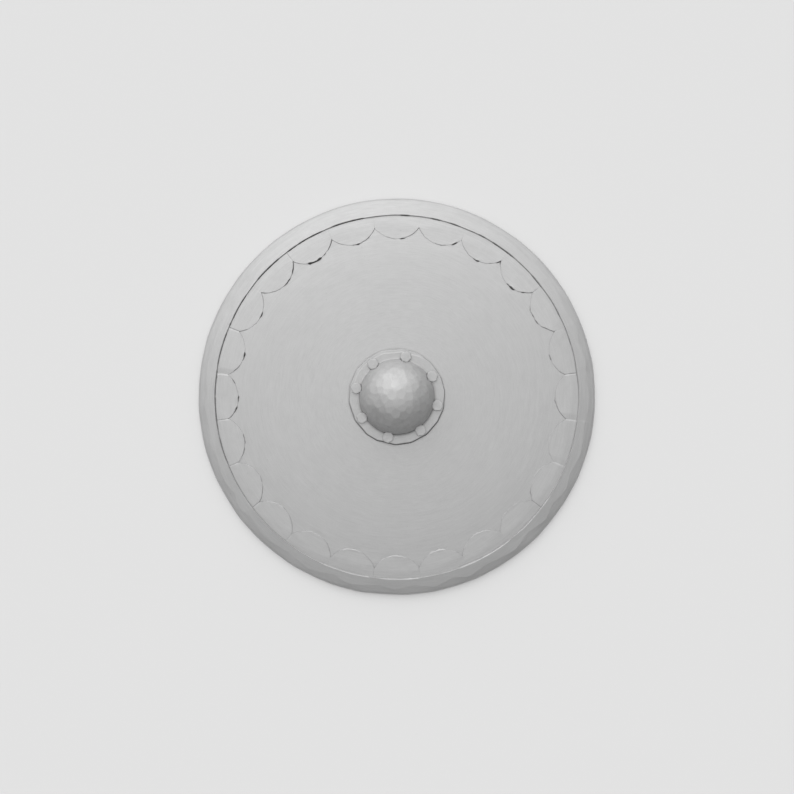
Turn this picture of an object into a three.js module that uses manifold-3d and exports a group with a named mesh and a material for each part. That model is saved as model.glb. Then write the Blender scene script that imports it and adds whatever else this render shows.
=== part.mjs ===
// Buckler shield: a round hand shield of steel, lying boss up on its rim.
// Millimetres, +Z up. The origin is on the shield's axis, in the plane that the underside of the rim lies in.
//
// A dished disc with a hand opening carries a raised hemispherical boss on a riveted flange.
// A thin ring of scalloped lobes lies on the disc's edge, and a rim of folded sheet wraps both edges.
// On the hollow side a wooden grip faced with a steel strap bridges the opening, held by two of the boss rivets.

import * as THREE from "three";
import { mergeVertices } from "three/addons/utils/BufferGeometryUtils.js";
import Module from "manifold-3d";

const wasm = await Module();
wasm.setup();

const DEG = Math.PI / 180;
const GAP = 0.3; // between pieces that touch

// ---- overall ----
const SHIELD_R = 225; // outer edge of the rim
const SEAM_R = 204.7; // inner edge of the rim, where the lobes come out from under it
const ROUNDS = 64; // facets round the disc and the rim

// ---- disc ----
const DISC_T = 1.5;
const DISC_R = 216; // its edge is hidden inside the rim
const FLAT_R = 54.5; // the disc is flat below the boss flange
const OPENING_R = 38.5; // hand opening
const SLOPE_FOOT = 2.3; // degrees, where the dish starts beside the flange
const SLOPE_GAIN = 11.4; // degrees more at the seam
const SLOPE_POWER = 3.7;

// ---- rim ----
const RIM_T = 1.2; // sheet thickness
const RIM_STEP = 1.0; // width of the slanted inner edge
const RIM_SLOPE_IN = 19.5; // degrees, just outside the seam
const RIM_SLOPE_GAIN = 10.5; // degrees more where the edge rounds over
const RIM_SLOPE_POWER = 1.7;
const EDGE_TOP_R = 6.4; // radius of the upper round-over
const EDGE_LOW_R = 3.6; // radius of the lower one, down to the flat that the shield lies on
const RIM_FLAT_IN_R = 216.5; // inner edge of that flat
const RIM_LIP_R = 208.5; // the fold ends here, against the back of the disc

// ---- scalloped border ----
const LOBES = 24;
const BORDER_T = 1.1;
const BORDER_R = 214; // its outer edge is hidden inside the rim
const LOBE_IN_R = 177.3; // innermost reach of a lobe
const CUSP_R = 191.6; // where two lobes meet
const LOBE_LIFT = 0.35; // a lobe's inner lip stands this much prouder
const GROOVE_DEPTH = 0.45; // cut between two lobes, from the cusp to the rim

// ---- boss ----
const DOME_R = 41.7; // a hemisphere standing on the flange
const DOME_T = 1.6;
const FOOT_FILLET = 1.2;
const FLANGE_T = 2.2;
const FLANGE_TOP_R = 50.7; // where its bevelled edge starts
const FLANGE_R = 53.9;
const FLANGE_LAND = 0.4; // upright part of the edge below the bevel
const DOME_ROUNDS = 36;

// ---- rivets: [angle in degrees from +X, distance from the shield's axis], spaced by eye ----
const RIVETS = [
  [77.3, 45.3],
  [126.0, 45.0],
  [168.1, 45.8],
  [211.3, 45.0],
  [257.7, 46.0],
  [305.0, 45.7],
  [347.8, 45.9],
  [29.9, 45.1],
];
const GRIP_RIVETS = [2, 6]; // these two are long and hold the grip
const HEAD_R = 6.1;
const HEAD_H = 3.0;
const HEAD_CHAMFER = 0.5;
const SEAT_DEPTH = 0.1; // spot face in the flange under each head
const SEAT_CLEARANCE = 0.35; // the dome's foot is set in this far round a head
const SHANK_R = 3.0;
const TAIL_R = 4.6;
const TAIL_H = 1.6;

// ---- grip ----
const GRIP_L = 118;
const GRIP_W = 28; // at the middle
const GRIP_END_W = 23;
const GRIP_H = 15.5;
const GRIP_ROUND = 4.5; // rounding of its long edges, on the hand's side
const STRAP_L = 112;
const STRAP_W = 14;
const STRAP_T = 2;

// ---- profile of the shield's face ----
// Slopes are the downward tilt of the face in degrees at a distance r from the axis.
const discSlope = (r) =>
  r <= FLAT_R ? 0 : SLOPE_FOOT + SLOPE_GAIN * (r / SEAM_R) ** SLOPE_POWER;
const roundR = SHIELD_R - EDGE_TOP_R * (1 - Math.sin((RIM_SLOPE_IN + RIM_SLOPE_GAIN) * DEG));
const rimSlope = (r) =>
  RIM_SLOPE_IN +
  RIM_SLOPE_GAIN * Math.min(1, (r - SEAM_R) / (roundR - SEAM_R)) ** RIM_SLOPE_POWER;

// Drop of a face from r0 to r, by the midpoint rule.
function drop(slope, r0, r) {
  const n = Math.max(1, Math.ceil(Math.abs(r - r0) * 2));
  const h = (r - r0) / n;
  let z = 0;
  for (let i = 0; i < n; i++) z += h * Math.tan(slope(r0 + (i + 0.5) * h) * DEG);
  return z;
}

const Z_WIDEST = EDGE_LOW_R; // height of the rim's widest point
const Z_ROUND = Z_WIDEST + EDGE_TOP_R * Math.cos((RIM_SLOPE_IN + RIM_SLOPE_GAIN) * DEG);
const rimTop = (r) => Z_ROUND + drop(rimSlope, r, roundR);
const borderTop = (r) =>
  r >= SEAM_R ? rimTop(r) - RIM_T - GAP : rimTop(SEAM_R) - RIM_T - GAP + drop(discSlope, r, SEAM_R);
const discTop = (r) => borderTop(r) - BORDER_T - GAP;

const Z_DISC = discTop(FLAT_R); // upper face of the disc's flat middle
const Z_BACK = Z_DISC - DISC_T; // its back
const Z_FLANGE = Z_DISC + GAP + FLANGE_T; // upper face of the flange, where the dome's equator lies
const Z_GRIP = Z_BACK - GAP; // the grip lies against the back
const Z_STRAP = Z_GRIP - GRIP_H - GAP;

// ---- geometry helpers ----
// Turns a closed profile of [r, z] points about the Z axis.
function turned(profile, rounds) {
  let area = 0;
  for (let i = 0; i < profile.length; i++) {
    const [r0, z0] = profile[i];
    const [r1, z1] = profile[(i + 1) % profile.length];
    area += r0 * z1 - r1 * z0;
  }
  const way = area > 0 ? profile : [...profile].reverse();
  const points = [...way, way[0]].map(([r, z]) => new THREE.Vector2(r, z));
  return new THREE.LatheGeometry(points, rounds).rotateX(Math.PI / 2);
}

// An upright round bar from z0 to z1.
function bar(r, z0, z1, x, y, rounds) {
  return new THREE.CylinderGeometry(r, r, z1 - z0, rounds)
    .rotateX(Math.PI / 2)
    .translate(x, y, (z0 + z1) / 2);
}

function solid(geometry) {
  const g = geometry.clone();
  g.deleteAttribute("normal");
  g.deleteAttribute("uv");
  const merged = mergeVertices(g, 1e-4);
  return new wasm.Manifold(
    new wasm.Mesh({
      numProp: 3,
      vertProperties: new Float32Array(merged.attributes.position.array),
      triVerts: new Uint32Array(merged.index.array),
    }),
  );
}

function geometryOf(manifold) {
  const m = manifold.getMesh();
  const g = new THREE.BufferGeometry();
  const xyz = new Float32Array(m.numVert * 3);
  for (let i = 0; i < m.numVert; i++)
    xyz.set(m.vertProperties.subarray(i * m.numProp, i * m.numProp + 3), i * 3);
  g.setAttribute("position", new THREE.BufferAttribute(xyz, 3));
  g.setIndex(new THREE.BufferAttribute(new Uint32Array(m.triVerts), 1));
  g.computeVertexNormals();
  return g;
}

const range = (n, f) => Array.from({ length: n }, (_, i) => f(i));

// ---- where the rivets stand ----
const rivetAt = RIVETS.map(([a, r]) => [r * Math.cos(a * DEG), r * Math.sin(a * DEG)]);

// ---- disc ----
function discGeometry() {
  const radii = [OPENING_R, FLAT_R, 115, 155, 183, SEAM_R, DISC_R];
  const profile = [
    ...radii.map((r) => [r, discTop(r)]),
    ...[...radii].reverse().map((r) => [r, discTop(r) - DISC_T]),
  ];
  let disc = solid(turned(profile, ROUNDS));
  for (const [x, y] of rivetAt)
    disc = disc.subtract(solid(bar(SHANK_R + GAP, Z_BACK - 2, Z_DISC + 2, x, y, 8)));
  return geometryOf(disc);
}

// ---- scalloped border ----
// A lobe's inner edge is an arc through both cusps and the innermost point.
const halfLobe = 180 / LOBES;
const cuspX = CUSP_R * Math.cos(halfLobe * DEG);
const cuspY = CUSP_R * Math.sin(halfLobe * DEG);
const lobeR = ((cuspX - LOBE_IN_R) ** 2 + cuspY ** 2) / (2 * (cuspX - LOBE_IN_R));
const lobeC = LOBE_IN_R + lobeR; // the arc's centre, on the lobe's middle line
const lobeEdge = (degrees) => {
  const c = Math.cos(degrees * DEG);
  return lobeC * c - Math.sqrt(lobeR ** 2 - lobeC ** 2 * (1 - c * c));
};

function borderGeometry() {
  const across = [-1, -0.82, -0.3, 0.3, 0.82]; // of half a lobe
  const columns = [];
  for (let k = 0; k < LOBES; k++)
    for (const s of across) {
      const off = s * halfLobe;
      const a = (90 + k * (360 / LOBES) + off) * DEG;
      const inR = lobeEdge(off);
      const groove = s === -1 ? GROOVE_DEPTH : 0;
      const lift = LOBE_LIFT * (1 - (inR - LOBE_IN_R) / (CUSP_R - LOBE_IN_R));
      const loop = [
        [inR, borderTop(inR) + lift - groove],
        [(inR + SEAM_R) / 2, borderTop((inR + SEAM_R) / 2) - groove],
        [SEAM_R, borderTop(SEAM_R) - groove],
        [BORDER_R, borderTop(BORDER_R)],
        [BORDER_R, borderTop(BORDER_R) - BORDER_T],
        [SEAM_R, borderTop(SEAM_R) - BORDER_T],
        [inR, borderTop(inR) - BORDER_T],
      ];
      columns.push(loop.map(([r, z]) => [r * Math.cos(a), r * Math.sin(a), z]));
    }
  const n = columns.length;
  const m = columns[0].length;
  const g = new THREE.BufferGeometry();
  g.setAttribute("position", new THREE.BufferAttribute(new Float32Array(columns.flat(2)), 3));
  const index = [];
  for (let i = 0; i < n; i++)
    for (let j = 0; j < m; j++) {
      const a = i * m + j;
      const b = ((i + 1) % n) * m + j;
      const c = ((i + 1) % n) * m + ((j + 1) % m);
      const d = i * m + ((j + 1) % m);
      index.push(a, c, b, a, d, c);
    }
  g.setIndex(index);
  g.computeVertexNormals();
  return g;
}

// ---- rim ----
// Folded sheet: over the border, round the edge, flat underneath, and back up against the disc.
function rimGeometry() {
  const outer = [[SEAM_R + RIM_STEP, rimTop(SEAM_R + RIM_STEP)]];
  outer.push([214, rimTop(214)]);
  const inner = [[SEAM_R, rimTop(SEAM_R) - RIM_T]];
  inner.push([214, rimTop(214) - RIM_T]);
  const arc = (radius, centreR, from, to, steps) =>
    range(steps + 1, (i) => {
      const t = (from + ((to - from) * i) / steps) * DEG;
      return [centreR + radius * Math.sin(t), Z_WIDEST + radius * Math.cos(t)];
    });
  const start = RIM_SLOPE_IN + RIM_SLOPE_GAIN;
  outer.push(...arc(EDGE_TOP_R, SHIELD_R - EDGE_TOP_R, start, 90, 2));
  outer.push(...arc(EDGE_LOW_R, SHIELD_R - EDGE_LOW_R, 90, 180, 2).slice(1));
  inner.push(...arc(EDGE_TOP_R - RIM_T, SHIELD_R - EDGE_TOP_R, start, 90, 1));
  inner.push(...arc(EDGE_LOW_R - RIM_T, SHIELD_R - EDGE_LOW_R, 90, 180, 1).slice(1));
  const lipZ = discTop(RIM_LIP_R) - DISC_T - GAP;
  outer.push([RIM_FLAT_IN_R, 0], [RIM_LIP_R, lipZ - RIM_T]);
  inner.push([RIM_FLAT_IN_R + 0.6, RIM_T], [RIM_LIP_R + 0.6, lipZ - 0.25]);
  return turned([...outer, ...inner.reverse()], ROUNDS);
}

// ---- boss ----
function bossGeometry() {
  const steps = 8;
  const dome = (radius, from, to, n) =>
    range(n + 1, (i) => {
      const t = (from + ((to - from) * i) / n) * DEG;
      return [radius * Math.cos(t), Z_FLANGE + radius * Math.sin(t)];
    });
  const footLift = Math.asin(FOOT_FILLET / DOME_R) / DEG;
  const hat = [
    [0, Z_DISC + GAP],
    [FLANGE_R, Z_DISC + GAP],
    [FLANGE_R, Z_DISC + GAP + FLANGE_LAND],
    [FLANGE_TOP_R, Z_FLANGE],
    [DOME_R + FOOT_FILLET, Z_FLANGE],
    ...dome(DOME_R, footLift, 90, steps).slice(0, -1),
    [0, Z_FLANGE + DOME_R],
  ];
  const hollow = [
    [0, Z_DISC - 3],
    [DOME_R - DOME_T, Z_DISC - 3],
    ...dome(DOME_R - DOME_T, 0, 90, steps - 1).slice(0, -1),
    [0, Z_FLANGE + DOME_R - DOME_T],
  ];
  let outside = solid(turned(hat, DOME_ROUNDS));
  let inside = solid(turned(hollow, DOME_ROUNDS));
  const seatR = HEAD_R + SEAT_CLEARANCE;
  for (const [x, y] of rivetAt) {
    outside = outside.subtract(solid(bar(seatR, Z_FLANGE - SEAT_DEPTH, Z_FLANGE + 20, x, y, 12)));
    inside = inside.subtract(solid(bar(seatR + DOME_T, Z_DISC - 5, Z_FLANGE + 20, x, y, 12)));
  }
  let boss = outside.subtract(inside);
  for (const [x, y] of rivetAt)
    boss = boss.subtract(solid(bar(SHANK_R + GAP, Z_DISC - 5, Z_FLANGE + 1, x, y, 8)));
  return geometryOf(boss);
}

// ---- rivets ----
// Head on the flange, shank through everything below, and a peened tail at the back.
function rivetGeometry(long) {
  const under = Z_FLANGE - SEAT_DEPTH + GAP;
  const top = under + HEAD_H;
  const tail = (long ? Z_STRAP - STRAP_T : Z_BACK) - GAP;
  const profile = [
    [0, tail - TAIL_H],
    [TAIL_R * 0.6, tail - TAIL_H],
    [TAIL_R, tail - TAIL_H * 0.4],
    [SHANK_R, tail],
    [SHANK_R, under],
    [HEAD_R, under],
    [HEAD_R, top - HEAD_CHAMFER],
    [HEAD_R - HEAD_CHAMFER, top],
    [0, top],
  ];
  return turned(profile, 8);
}

// ---- grip ----
const [gripA, gripB] = GRIP_RIVETS.map((i) => rivetAt[i]);
const gripMid = [(gripA[0] + gripB[0]) / 2, (gripA[1] + gripB[1]) / 2];
const gripTurn = Math.atan2(gripB[1] - gripA[1], gripB[0] - gripA[0]);

// A long plan outline with round ends that is widest at the middle.
function outline(length, midWidth, endWidth, steps, ends) {
  const shape = new THREE.Shape();
  const straight = length - endWidth;
  const side = (i, sign) => {
    const x = -straight / 2 + (straight * i) / steps;
    const w = endWidth + (midWidth - endWidth) * Math.cos((x / straight) * Math.PI) ** 2;
    return [sign * -x, (sign * w) / 2];
  };
  const points = [];
  for (const sign of [-1, 1]) {
    for (let i = 0; i <= steps; i++) points.push(side(i, sign));
    for (let i = 1; i < ends; i++) {
      const t = (i / ends) * Math.PI - Math.PI / 2;
      const x = sign * (-straight / 2 - (endWidth / 2) * Math.cos(t));
      points.push([x, (-sign * endWidth * Math.sin(t)) / 2]);
    }
  }
  shape.setFromPoints(points.map(([x, y]) => new THREE.Vector2(x, y)));
  return shape;
}

// Plates are drilled where the two long rivets run through.
function drilled(geometry) {
  let s = solid(geometry.rotateZ(gripTurn).translate(gripMid[0], gripMid[1], 0));
  for (const [x, y] of [gripA, gripB]) s = s.subtract(solid(bar(SHANK_R + GAP, -5, Z_DISC, x, y, 8)));
  return geometryOf(s);
}

function gripGeometry() {
  const bevel = GRIP_ROUND;
  const shape = outline(GRIP_L - 2 * bevel, GRIP_W - 2 * bevel, GRIP_END_W - 2 * bevel, 6, 6);
  const g = new THREE.ExtrudeGeometry(shape, {
    depth: GRIP_H - 2 * bevel,
    bevelEnabled: true,
    bevelThickness: bevel,
    bevelSize: bevel,
    bevelSegments: 2,
    curveSegments: 1,
  });
  return drilled(g.translate(0, 0, Z_GRIP - GRIP_H + bevel));
}

function strapGeometry() {
  const shape = outline(STRAP_L, STRAP_W, STRAP_W, 1, 6);
  const g = new THREE.ExtrudeGeometry(shape, { depth: STRAP_T, bevelEnabled: false });
  return drilled(g.translate(0, 0, Z_STRAP - STRAP_T));
}

// ---- assembly ----
const steel = (color, roughness) =>
  new THREE.MeshStandardMaterial({ color, roughness, metalness: 1 });
const discSteel = steel(0xbcbcbc, 0.45);
const rimSteel = steel(0xc2c2c2, 0.42);
const bossSteel = steel(0xbfbfbf, 0.4);
const rivetSteel = steel(0xbababa, 0.45);
const wood = new THREE.MeshStandardMaterial({ color: 0x5d4129, roughness: 0.6, metalness: 0 });

const group = new THREE.Group();
function add(name, geometry, material, x = 0, y = 0) {
  const mesh = new THREE.Mesh(geometry, material);
  mesh.name = name;
  mesh.position.set(x, y, 0);
  group.add(mesh);
}

add("disc", discGeometry(), discSteel);
add("scalloped_border", borderGeometry(), discSteel);
add("rim", rimGeometry(), rimSteel);
add("boss", bossGeometry(), bossSteel);
rivetAt.forEach(([x, y], i) =>
  add(`boss_rivet_${i + 1}`, rivetGeometry(GRIP_RIVETS.includes(i)), rivetSteel, x, y),
);
add("grip", gripGeometry(), wood);
add("grip_strap", strapGeometry(), bossSteel);

export default group;
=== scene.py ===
import math

import bpy
import numpy as np
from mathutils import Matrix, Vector


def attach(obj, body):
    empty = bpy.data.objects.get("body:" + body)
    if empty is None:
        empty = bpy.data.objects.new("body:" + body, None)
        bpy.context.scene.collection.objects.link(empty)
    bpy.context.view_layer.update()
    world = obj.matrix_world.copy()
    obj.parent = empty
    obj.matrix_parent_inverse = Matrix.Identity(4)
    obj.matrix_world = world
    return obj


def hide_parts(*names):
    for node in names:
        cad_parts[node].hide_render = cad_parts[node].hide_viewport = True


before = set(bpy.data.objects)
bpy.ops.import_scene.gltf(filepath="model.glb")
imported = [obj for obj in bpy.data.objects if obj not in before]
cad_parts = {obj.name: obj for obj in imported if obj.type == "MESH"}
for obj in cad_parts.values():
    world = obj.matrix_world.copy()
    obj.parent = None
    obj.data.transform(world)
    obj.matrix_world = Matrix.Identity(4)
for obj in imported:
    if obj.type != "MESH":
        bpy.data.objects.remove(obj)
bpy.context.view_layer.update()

MM = 0.001
TAU = 2 * math.pi
rad = np.radians

# ---------------------------------------------------------------------------
# Camera: straight above the shield, top of the picture towards +Y.
# ---------------------------------------------------------------------------
cam_data = bpy.data.cameras.new("camera")
cam_data.lens = 50
cam_data.sensor_width = 36
cam_data.clip_start = 0.05
cam_data.clip_end = 60
camera = bpy.data.objects.new("camera", cam_data)
bpy.context.scene.collection.objects.link(camera)
camera.location = (0.0002, -0.0003, 1.2542)
camera.rotation_euler = (0, 0, 0)
bpy.context.scene.camera = camera

# ---------------------------------------------------------------------------
# The shield's sizes in millimetres, as in the CAD source.
# ---------------------------------------------------------------------------
SHIELD_R, SEAM_R = 225.0, 204.7
DISC_T, DISC_R, FLAT_R, OPENING_R = 1.5, 216.0, 54.5, 38.5
RIM_T = 1.2
RIM_SLOPE_IN, RIM_SLOPE_GAIN, RIM_SLOPE_POWER = 19.5, 10.5, 1.7
EDGE_TOP_R, EDGE_LOW_R = 6.4, 3.6
RIM_FLAT_IN_R, RIM_LIP_R = 216.5, 208.5
GAP = 0.3
LOBES = 24
BORDER_T, BORDER_R, LOBE_IN_R, CUSP_R = 1.1, 214.0, 177.3, 191.6
DOME_R, DOME_T = 41.7, 1.6
FLANGE_T, FLANGE_R = 2.2, 53.9
RIVETS = [
    (77.3, 45.3), (126.0, 45.0), (168.1, 45.8), (211.3, 45.0),
    (257.7, 46.0), (305.0, 45.7), (347.8, 45.9), (29.9, 45.1),
]
LONG = (2, 6)
HEAD_R, HEAD_H, SHANK_R, TAIL_R, TAIL_H = 6.1, 3.0, 3.0, 4.6, 1.6
GRIP_L, GRIP_W, GRIP_END_W, GRIP_H, GRIP_ROUND = 118.0, 28.0, 23.0, 15.5, 4.5
STRAP_L, STRAP_W, STRAP_T = 112.0, 14.0, 2.0


def disc_slope(r):
    return np.where(r <= FLAT_R, 0.0, 2.3 + 11.4 * (np.maximum(r, 1e-6) / SEAM_R) ** 3.7)


ROUND_R = SHIELD_R - EDGE_TOP_R * (1 - math.sin(math.radians(RIM_SLOPE_IN + RIM_SLOPE_GAIN)))


def rim_slope(r):
    u = np.clip((r - SEAM_R) / (ROUND_R - SEAM_R), 0, 1)
    return RIM_SLOPE_IN + RIM_SLOPE_GAIN * u ** RIM_SLOPE_POWER


Z_WIDEST = EDGE_LOW_R
Z_ROUND = Z_WIDEST + EDGE_TOP_R * math.cos(math.radians(RIM_SLOPE_IN + RIM_SLOPE_GAIN))

# Heights by integrating the slopes once, then looked up.
_r = np.arange(0, 226.001, 0.05)
_mid = (_r[1:] + _r[:-1]) / 2
_fall_rim = np.concatenate([[0], np.cumsum(0.05 * np.tan(rad(rim_slope(_mid))))])
_fall_disc = np.concatenate([[0], np.cumsum(0.05 * np.tan(rad(disc_slope(_mid))))])


def fall_rim(r):
    return np.interp(r, _r, _fall_rim)


def fall_disc(r):
    return np.interp(r, _r, _fall_disc)


def rim_top(r):
    return Z_ROUND + fall_rim(ROUND_R) - fall_rim(r)


def border_top(r):
    r = np.asarray(r, float)
    inner = rim_top(SEAM_R) - RIM_T - GAP + fall_disc(SEAM_R) - fall_disc(r)
    return np.where(r >= SEAM_R, rim_top(r) - RIM_T - GAP, inner)


def disc_top(r):
    return border_top(r) - BORDER_T - GAP


Z_DISC = float(disc_top(FLAT_R))
Z_BACK = Z_DISC - DISC_T
Z_FLANGE = Z_DISC + GAP + FLANGE_T
Z_STRAP = Z_BACK - GAP - GRIP_H - GAP
LIP_Z = float(disc_top(RIM_LIP_R)) - DISC_T - GAP

# ---------------------------------------------------------------------------
# Helpers
# ---------------------------------------------------------------------------


def smooth(x):
    x = np.clip(x, 0, 1)
    return x * x * (3 - 2 * x)


def softmin(stack, s):
    m = stack.min(0)
    return m - s * np.log(np.exp(-(stack - m) / s).sum(0))


def ring_noise(c, seed, waves, amount=1.0):
    """Smooth noise round the shield: a sum of sines, waves = [(count round, weight)]."""
    g = np.random.default_rng(seed)
    out = np.zeros_like(c, dtype=float)
    for n, w in waves:
        out += w * np.sin(rad(c) * n + g.uniform(0, TAU))
    return amount * out


def spots(c, entries, soft=0.4, base=0.0):
    """A strength along the circle: the largest of soft-ended stretches (from, to, strength), degrees."""
    out = np.full_like(c, base, dtype=float)
    for a, b, s in entries:
        mid, half = (a + b) / 2, (b - a) / 2
        d = np.abs((c - mid + 180) % 360 - 180)
        out = np.maximum(out, base + (s - base) * smooth((half + soft - d) / (2 * soft)) * (s > base))
        if s <= base:
            k = smooth((half + soft - d) / (2 * soft))
            out = out * (1 - k) + s * k
    return out


def blur_ring(v, n):
    k = np.hanning(2 * n + 3)[1:-1]
    k /= k.sum()
    w = np.concatenate([v[-n:], v, v[:n]])
    return np.convolve(w, k, "valid")


def fbm(x, y, z, seed, scale):
    """Cheap smooth 3D noise from random plane waves, about -1 to 1."""
    g = np.random.default_rng(seed)
    out = 0
    for _ in range(14):
        d = g.normal(size=3)
        d /= np.linalg.norm(d)
        f = TAU / scale * g.uniform(0.7, 1.5)
        out = out + np.sin((x * d[0] + y * d[1] + z * d[2]) * f + g.uniform(0, TAU))
    return out / 4.2


def skin(name, rows, attrs, closed=False, sharp=40.0):
    """A mesh skinned over rows of points (n, 3) in mm; a row of one point is a pole. attrs: {name: one value or array per row}."""
    verts, start, sizes = [], [], []
    n = max(len(r) if r.ndim == 2 else 1 for r in rows)
    for r in rows:
        start.append(sum(sizes))
        if r.ndim == 1:
            verts.append(r[None])
            sizes.append(1)
        else:
            verts.append(r)
            sizes.append(len(r))
    co = np.concatenate(verts) * MM
    i = np.arange(n)
    j = (i + 1) % n
    quads, tris = [], []
    pairs = [(k, k + 1) for k in range(len(rows) - 1)]
    if closed:
        pairs.append((len(rows) - 1, 0))
    for a, b in pairs:
        sa, sb = start[a], start[b]
        if sizes[a] == 1 and sizes[b] == 1:
            continue
        if sizes[a] == 1:
            tris.append(np.stack([np.full(n, sa), sb + j, sb + i], 1))
        elif sizes[b] == 1:
            tris.append(np.stack([sa + i, sa + j, np.full(n, sb)], 1))
        else:
            quads.append(np.stack([sa + i, sa + j, sb + j, sb + i], 1))
    q = np.concatenate(quads) if quads else np.zeros((0, 4), int)
    t = np.concatenate(tris) if tris else np.zeros((0, 3), int)
    tri_all = np.concatenate([q[:, [0, 1, 2]], q[:, [0, 2, 3]], t])
    p0, p1, p2 = co[tri_all[:, 0]], co[tri_all[:, 1]], co[tri_all[:, 2]]
    if np.einsum("ij,ij->i", p0, np.cross(p1, p2)).sum() < 0:
        q, t = q[:, ::-1], t[:, ::-1]
    mesh = bpy.data.meshes.new(name)
    mesh.vertices.add(len(co))
    mesh.vertices.foreach_set("co", co.astype(np.float32).ravel())
    loops = np.concatenate([q.ravel(), t.ravel()]).astype(np.int32)
    starts = np.concatenate([np.arange(len(q)) * 4, len(q) * 4 + np.arange(len(t)) * 3]).astype(np.int32)
    mesh.loops.add(len(loops))
    mesh.loops.foreach_set("vertex_index", loops)
    mesh.polygons.add(len(starts))
    mesh.polygons.foreach_set("loop_start", starts)
    mesh.polygons.foreach_set("use_smooth", np.ones(len(starts), bool))
    mesh.update(calc_edges=True)
    mesh.validate()
    for key, values in attrs.items():
        data = np.concatenate([np.broadcast_to(np.asarray(v, float), (s,)) for v, s in zip(values, sizes)])
        mesh.attributes.new(key, "FLOAT", "POINT").data.foreach_set("value", data.astype(np.float32))
    mesh.set_sharp_from_angle(angle=math.radians(sharp))
    ob = bpy.data.objects.new(name, mesh)
    bpy.context.scene.collection.objects.link(ob)
    return ob


def finish_piece(ob, nodes, material):
    ob.data.materials.append(material)
    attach(ob, "root")
    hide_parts(*nodes)
    return ob


def around(r, c, z):
    """Points at radius r, clock angle c (degrees from +Y, clockwise seen from above), height z."""
    r, c, z = np.broadcast_arrays(r, c, z)
    return np.stack([r * np.sin(rad(c)), r * np.cos(rad(c)), z], -1).astype(float)


# ---------------------------------------------------------------------------
# Columns round the shield, closer together where two lobes meet.
# ---------------------------------------------------------------------------
_near = [0, 0.07, 0.15, 0.25, 0.38, 0.54, 0.73, 0.95]
_half = np.array(_near + list(0.95 + (7.5 - 0.95) / 22 * np.arange(1, 23)))
_offs = np.concatenate([-7.5 + _half, (7.5 - _half)[::-1][1:-1]])  # -7.5 (cusp) .. 0 (tip) .. short of 7.5
COLS = np.concatenate([15.0 * k + _offs for k in range(LOBES)]) % 360
LOBE_OF = np.repeat(np.arange(LOBES), len(_offs))
OFF = np.tile(_offs, LOBES)
NCOL = len(COLS)

# ---------------------------------------------------------------------------
# The lobes: outline, edge relief, facets
# ---------------------------------------------------------------------------
_g = np.random.default_rng(21)
tip_shift = _g.uniform(-0.35, 0.35, LOBES) - 0.55 * np.cos(rad(15.0 * np.arange(LOBES))) - 0.1
tip_skew = _g.uniform(-0.45, 0.45, LOBES)
cusp_shift = _g.uniform(-1.3, 0.7, LOBES)  # of the cusp at 15k + 7.5
oval_tilt = _g.uniform(6.8, 7.7, LOBES)  # degrees: the lobes are hammered flatter than the dish
oval_side = _g.uniform(-1.0, 1.0, LOBES)
crease_r = _g.uniform(194.6, 197.4, LOBES)
flat_top = np.zeros(LOBES)
flat_top[4] = 1.0
flat_top[[3, 9, 14]] = 0.5
worn = np.zeros(LOBES)  # lobes beaten nearly flush with the disc
worn[[7, 8, 9]] = (0.7, 0.55, 0.9)

half_lobe = 180 / LOBES
cusp_x = CUSP_R * math.cos(math.radians(half_lobe))
cusp_y = CUSP_R * math.sin(math.radians(half_lobe))
lobe_R = ((cusp_x - LOBE_IN_R) ** 2 + cusp_y ** 2) / (2 * (cusp_x - LOBE_IN_R))
lobe_C = LOBE_IN_R + lobe_R


def lobe_arc(off):
    o = rad(off)
    return lobe_C * np.cos(o) - np.sqrt(np.maximum(lobe_R ** 2 - (lobe_C * np.sin(o)) ** 2, 0))


def lobe_edge(k, off):
    """Inner edge of lobe k at an offset from its middle, with its own small faults."""
    u = off / 7.5
    left, right = cusp_shift[(k - 1) % LOBES], cusp_shift[k]
    low_side = smooth((58 - np.abs((15.0 * k + off - 202 + 180) % 360 - 180)) / 16)
    skewed = (off + tip_skew[k] * (1 - u * u)) * (1 + 0.055 * low_side)
    e = lobe_arc(skewed)
    e = e + tip_shift[k] * (1 - u * u) + np.where(u < 0, left, right) * u ** 4
    flat = LOBE_IN_R + 0.4 + 13.0 * smooth((np.abs(u) - 0.30) / 0.75) ** 1.15
    e = e * (1 - flat_top[k] * 0.6 * (1 - u ** 4)) + flat * flat_top[k] * 0.6 * (1 - u ** 4)
    wob = 0.16 * np.sin(off * 1.9 + k * 2.3) + 0.12 * np.sin(off * 3.7 + k * 5.1)
    return e + wob * (1 - u ** 4)


EDGE_R = lobe_edge(LOBE_OF, OFF)
# sine of the angle between the edge and the radius, for true widths across the edge
_arc = rad(np.unwrap(np.degrees(np.unwrap(rad(COLS))), period=360))
_d = (np.roll(EDGE_R, -1) - np.roll(EDGE_R, 1)) / (((np.roll(COLS, -1) - np.roll(COLS, 1)) % 360) * math.pi / 180)
SIN_PSI = np.clip(1 / np.sqrt(1 + (_d / EDGE_R) ** 2), 0.45, 1)
_cusp = np.isclose(OFF, -7.5)
SIN_PSI[_cusp] = 0.5

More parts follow.
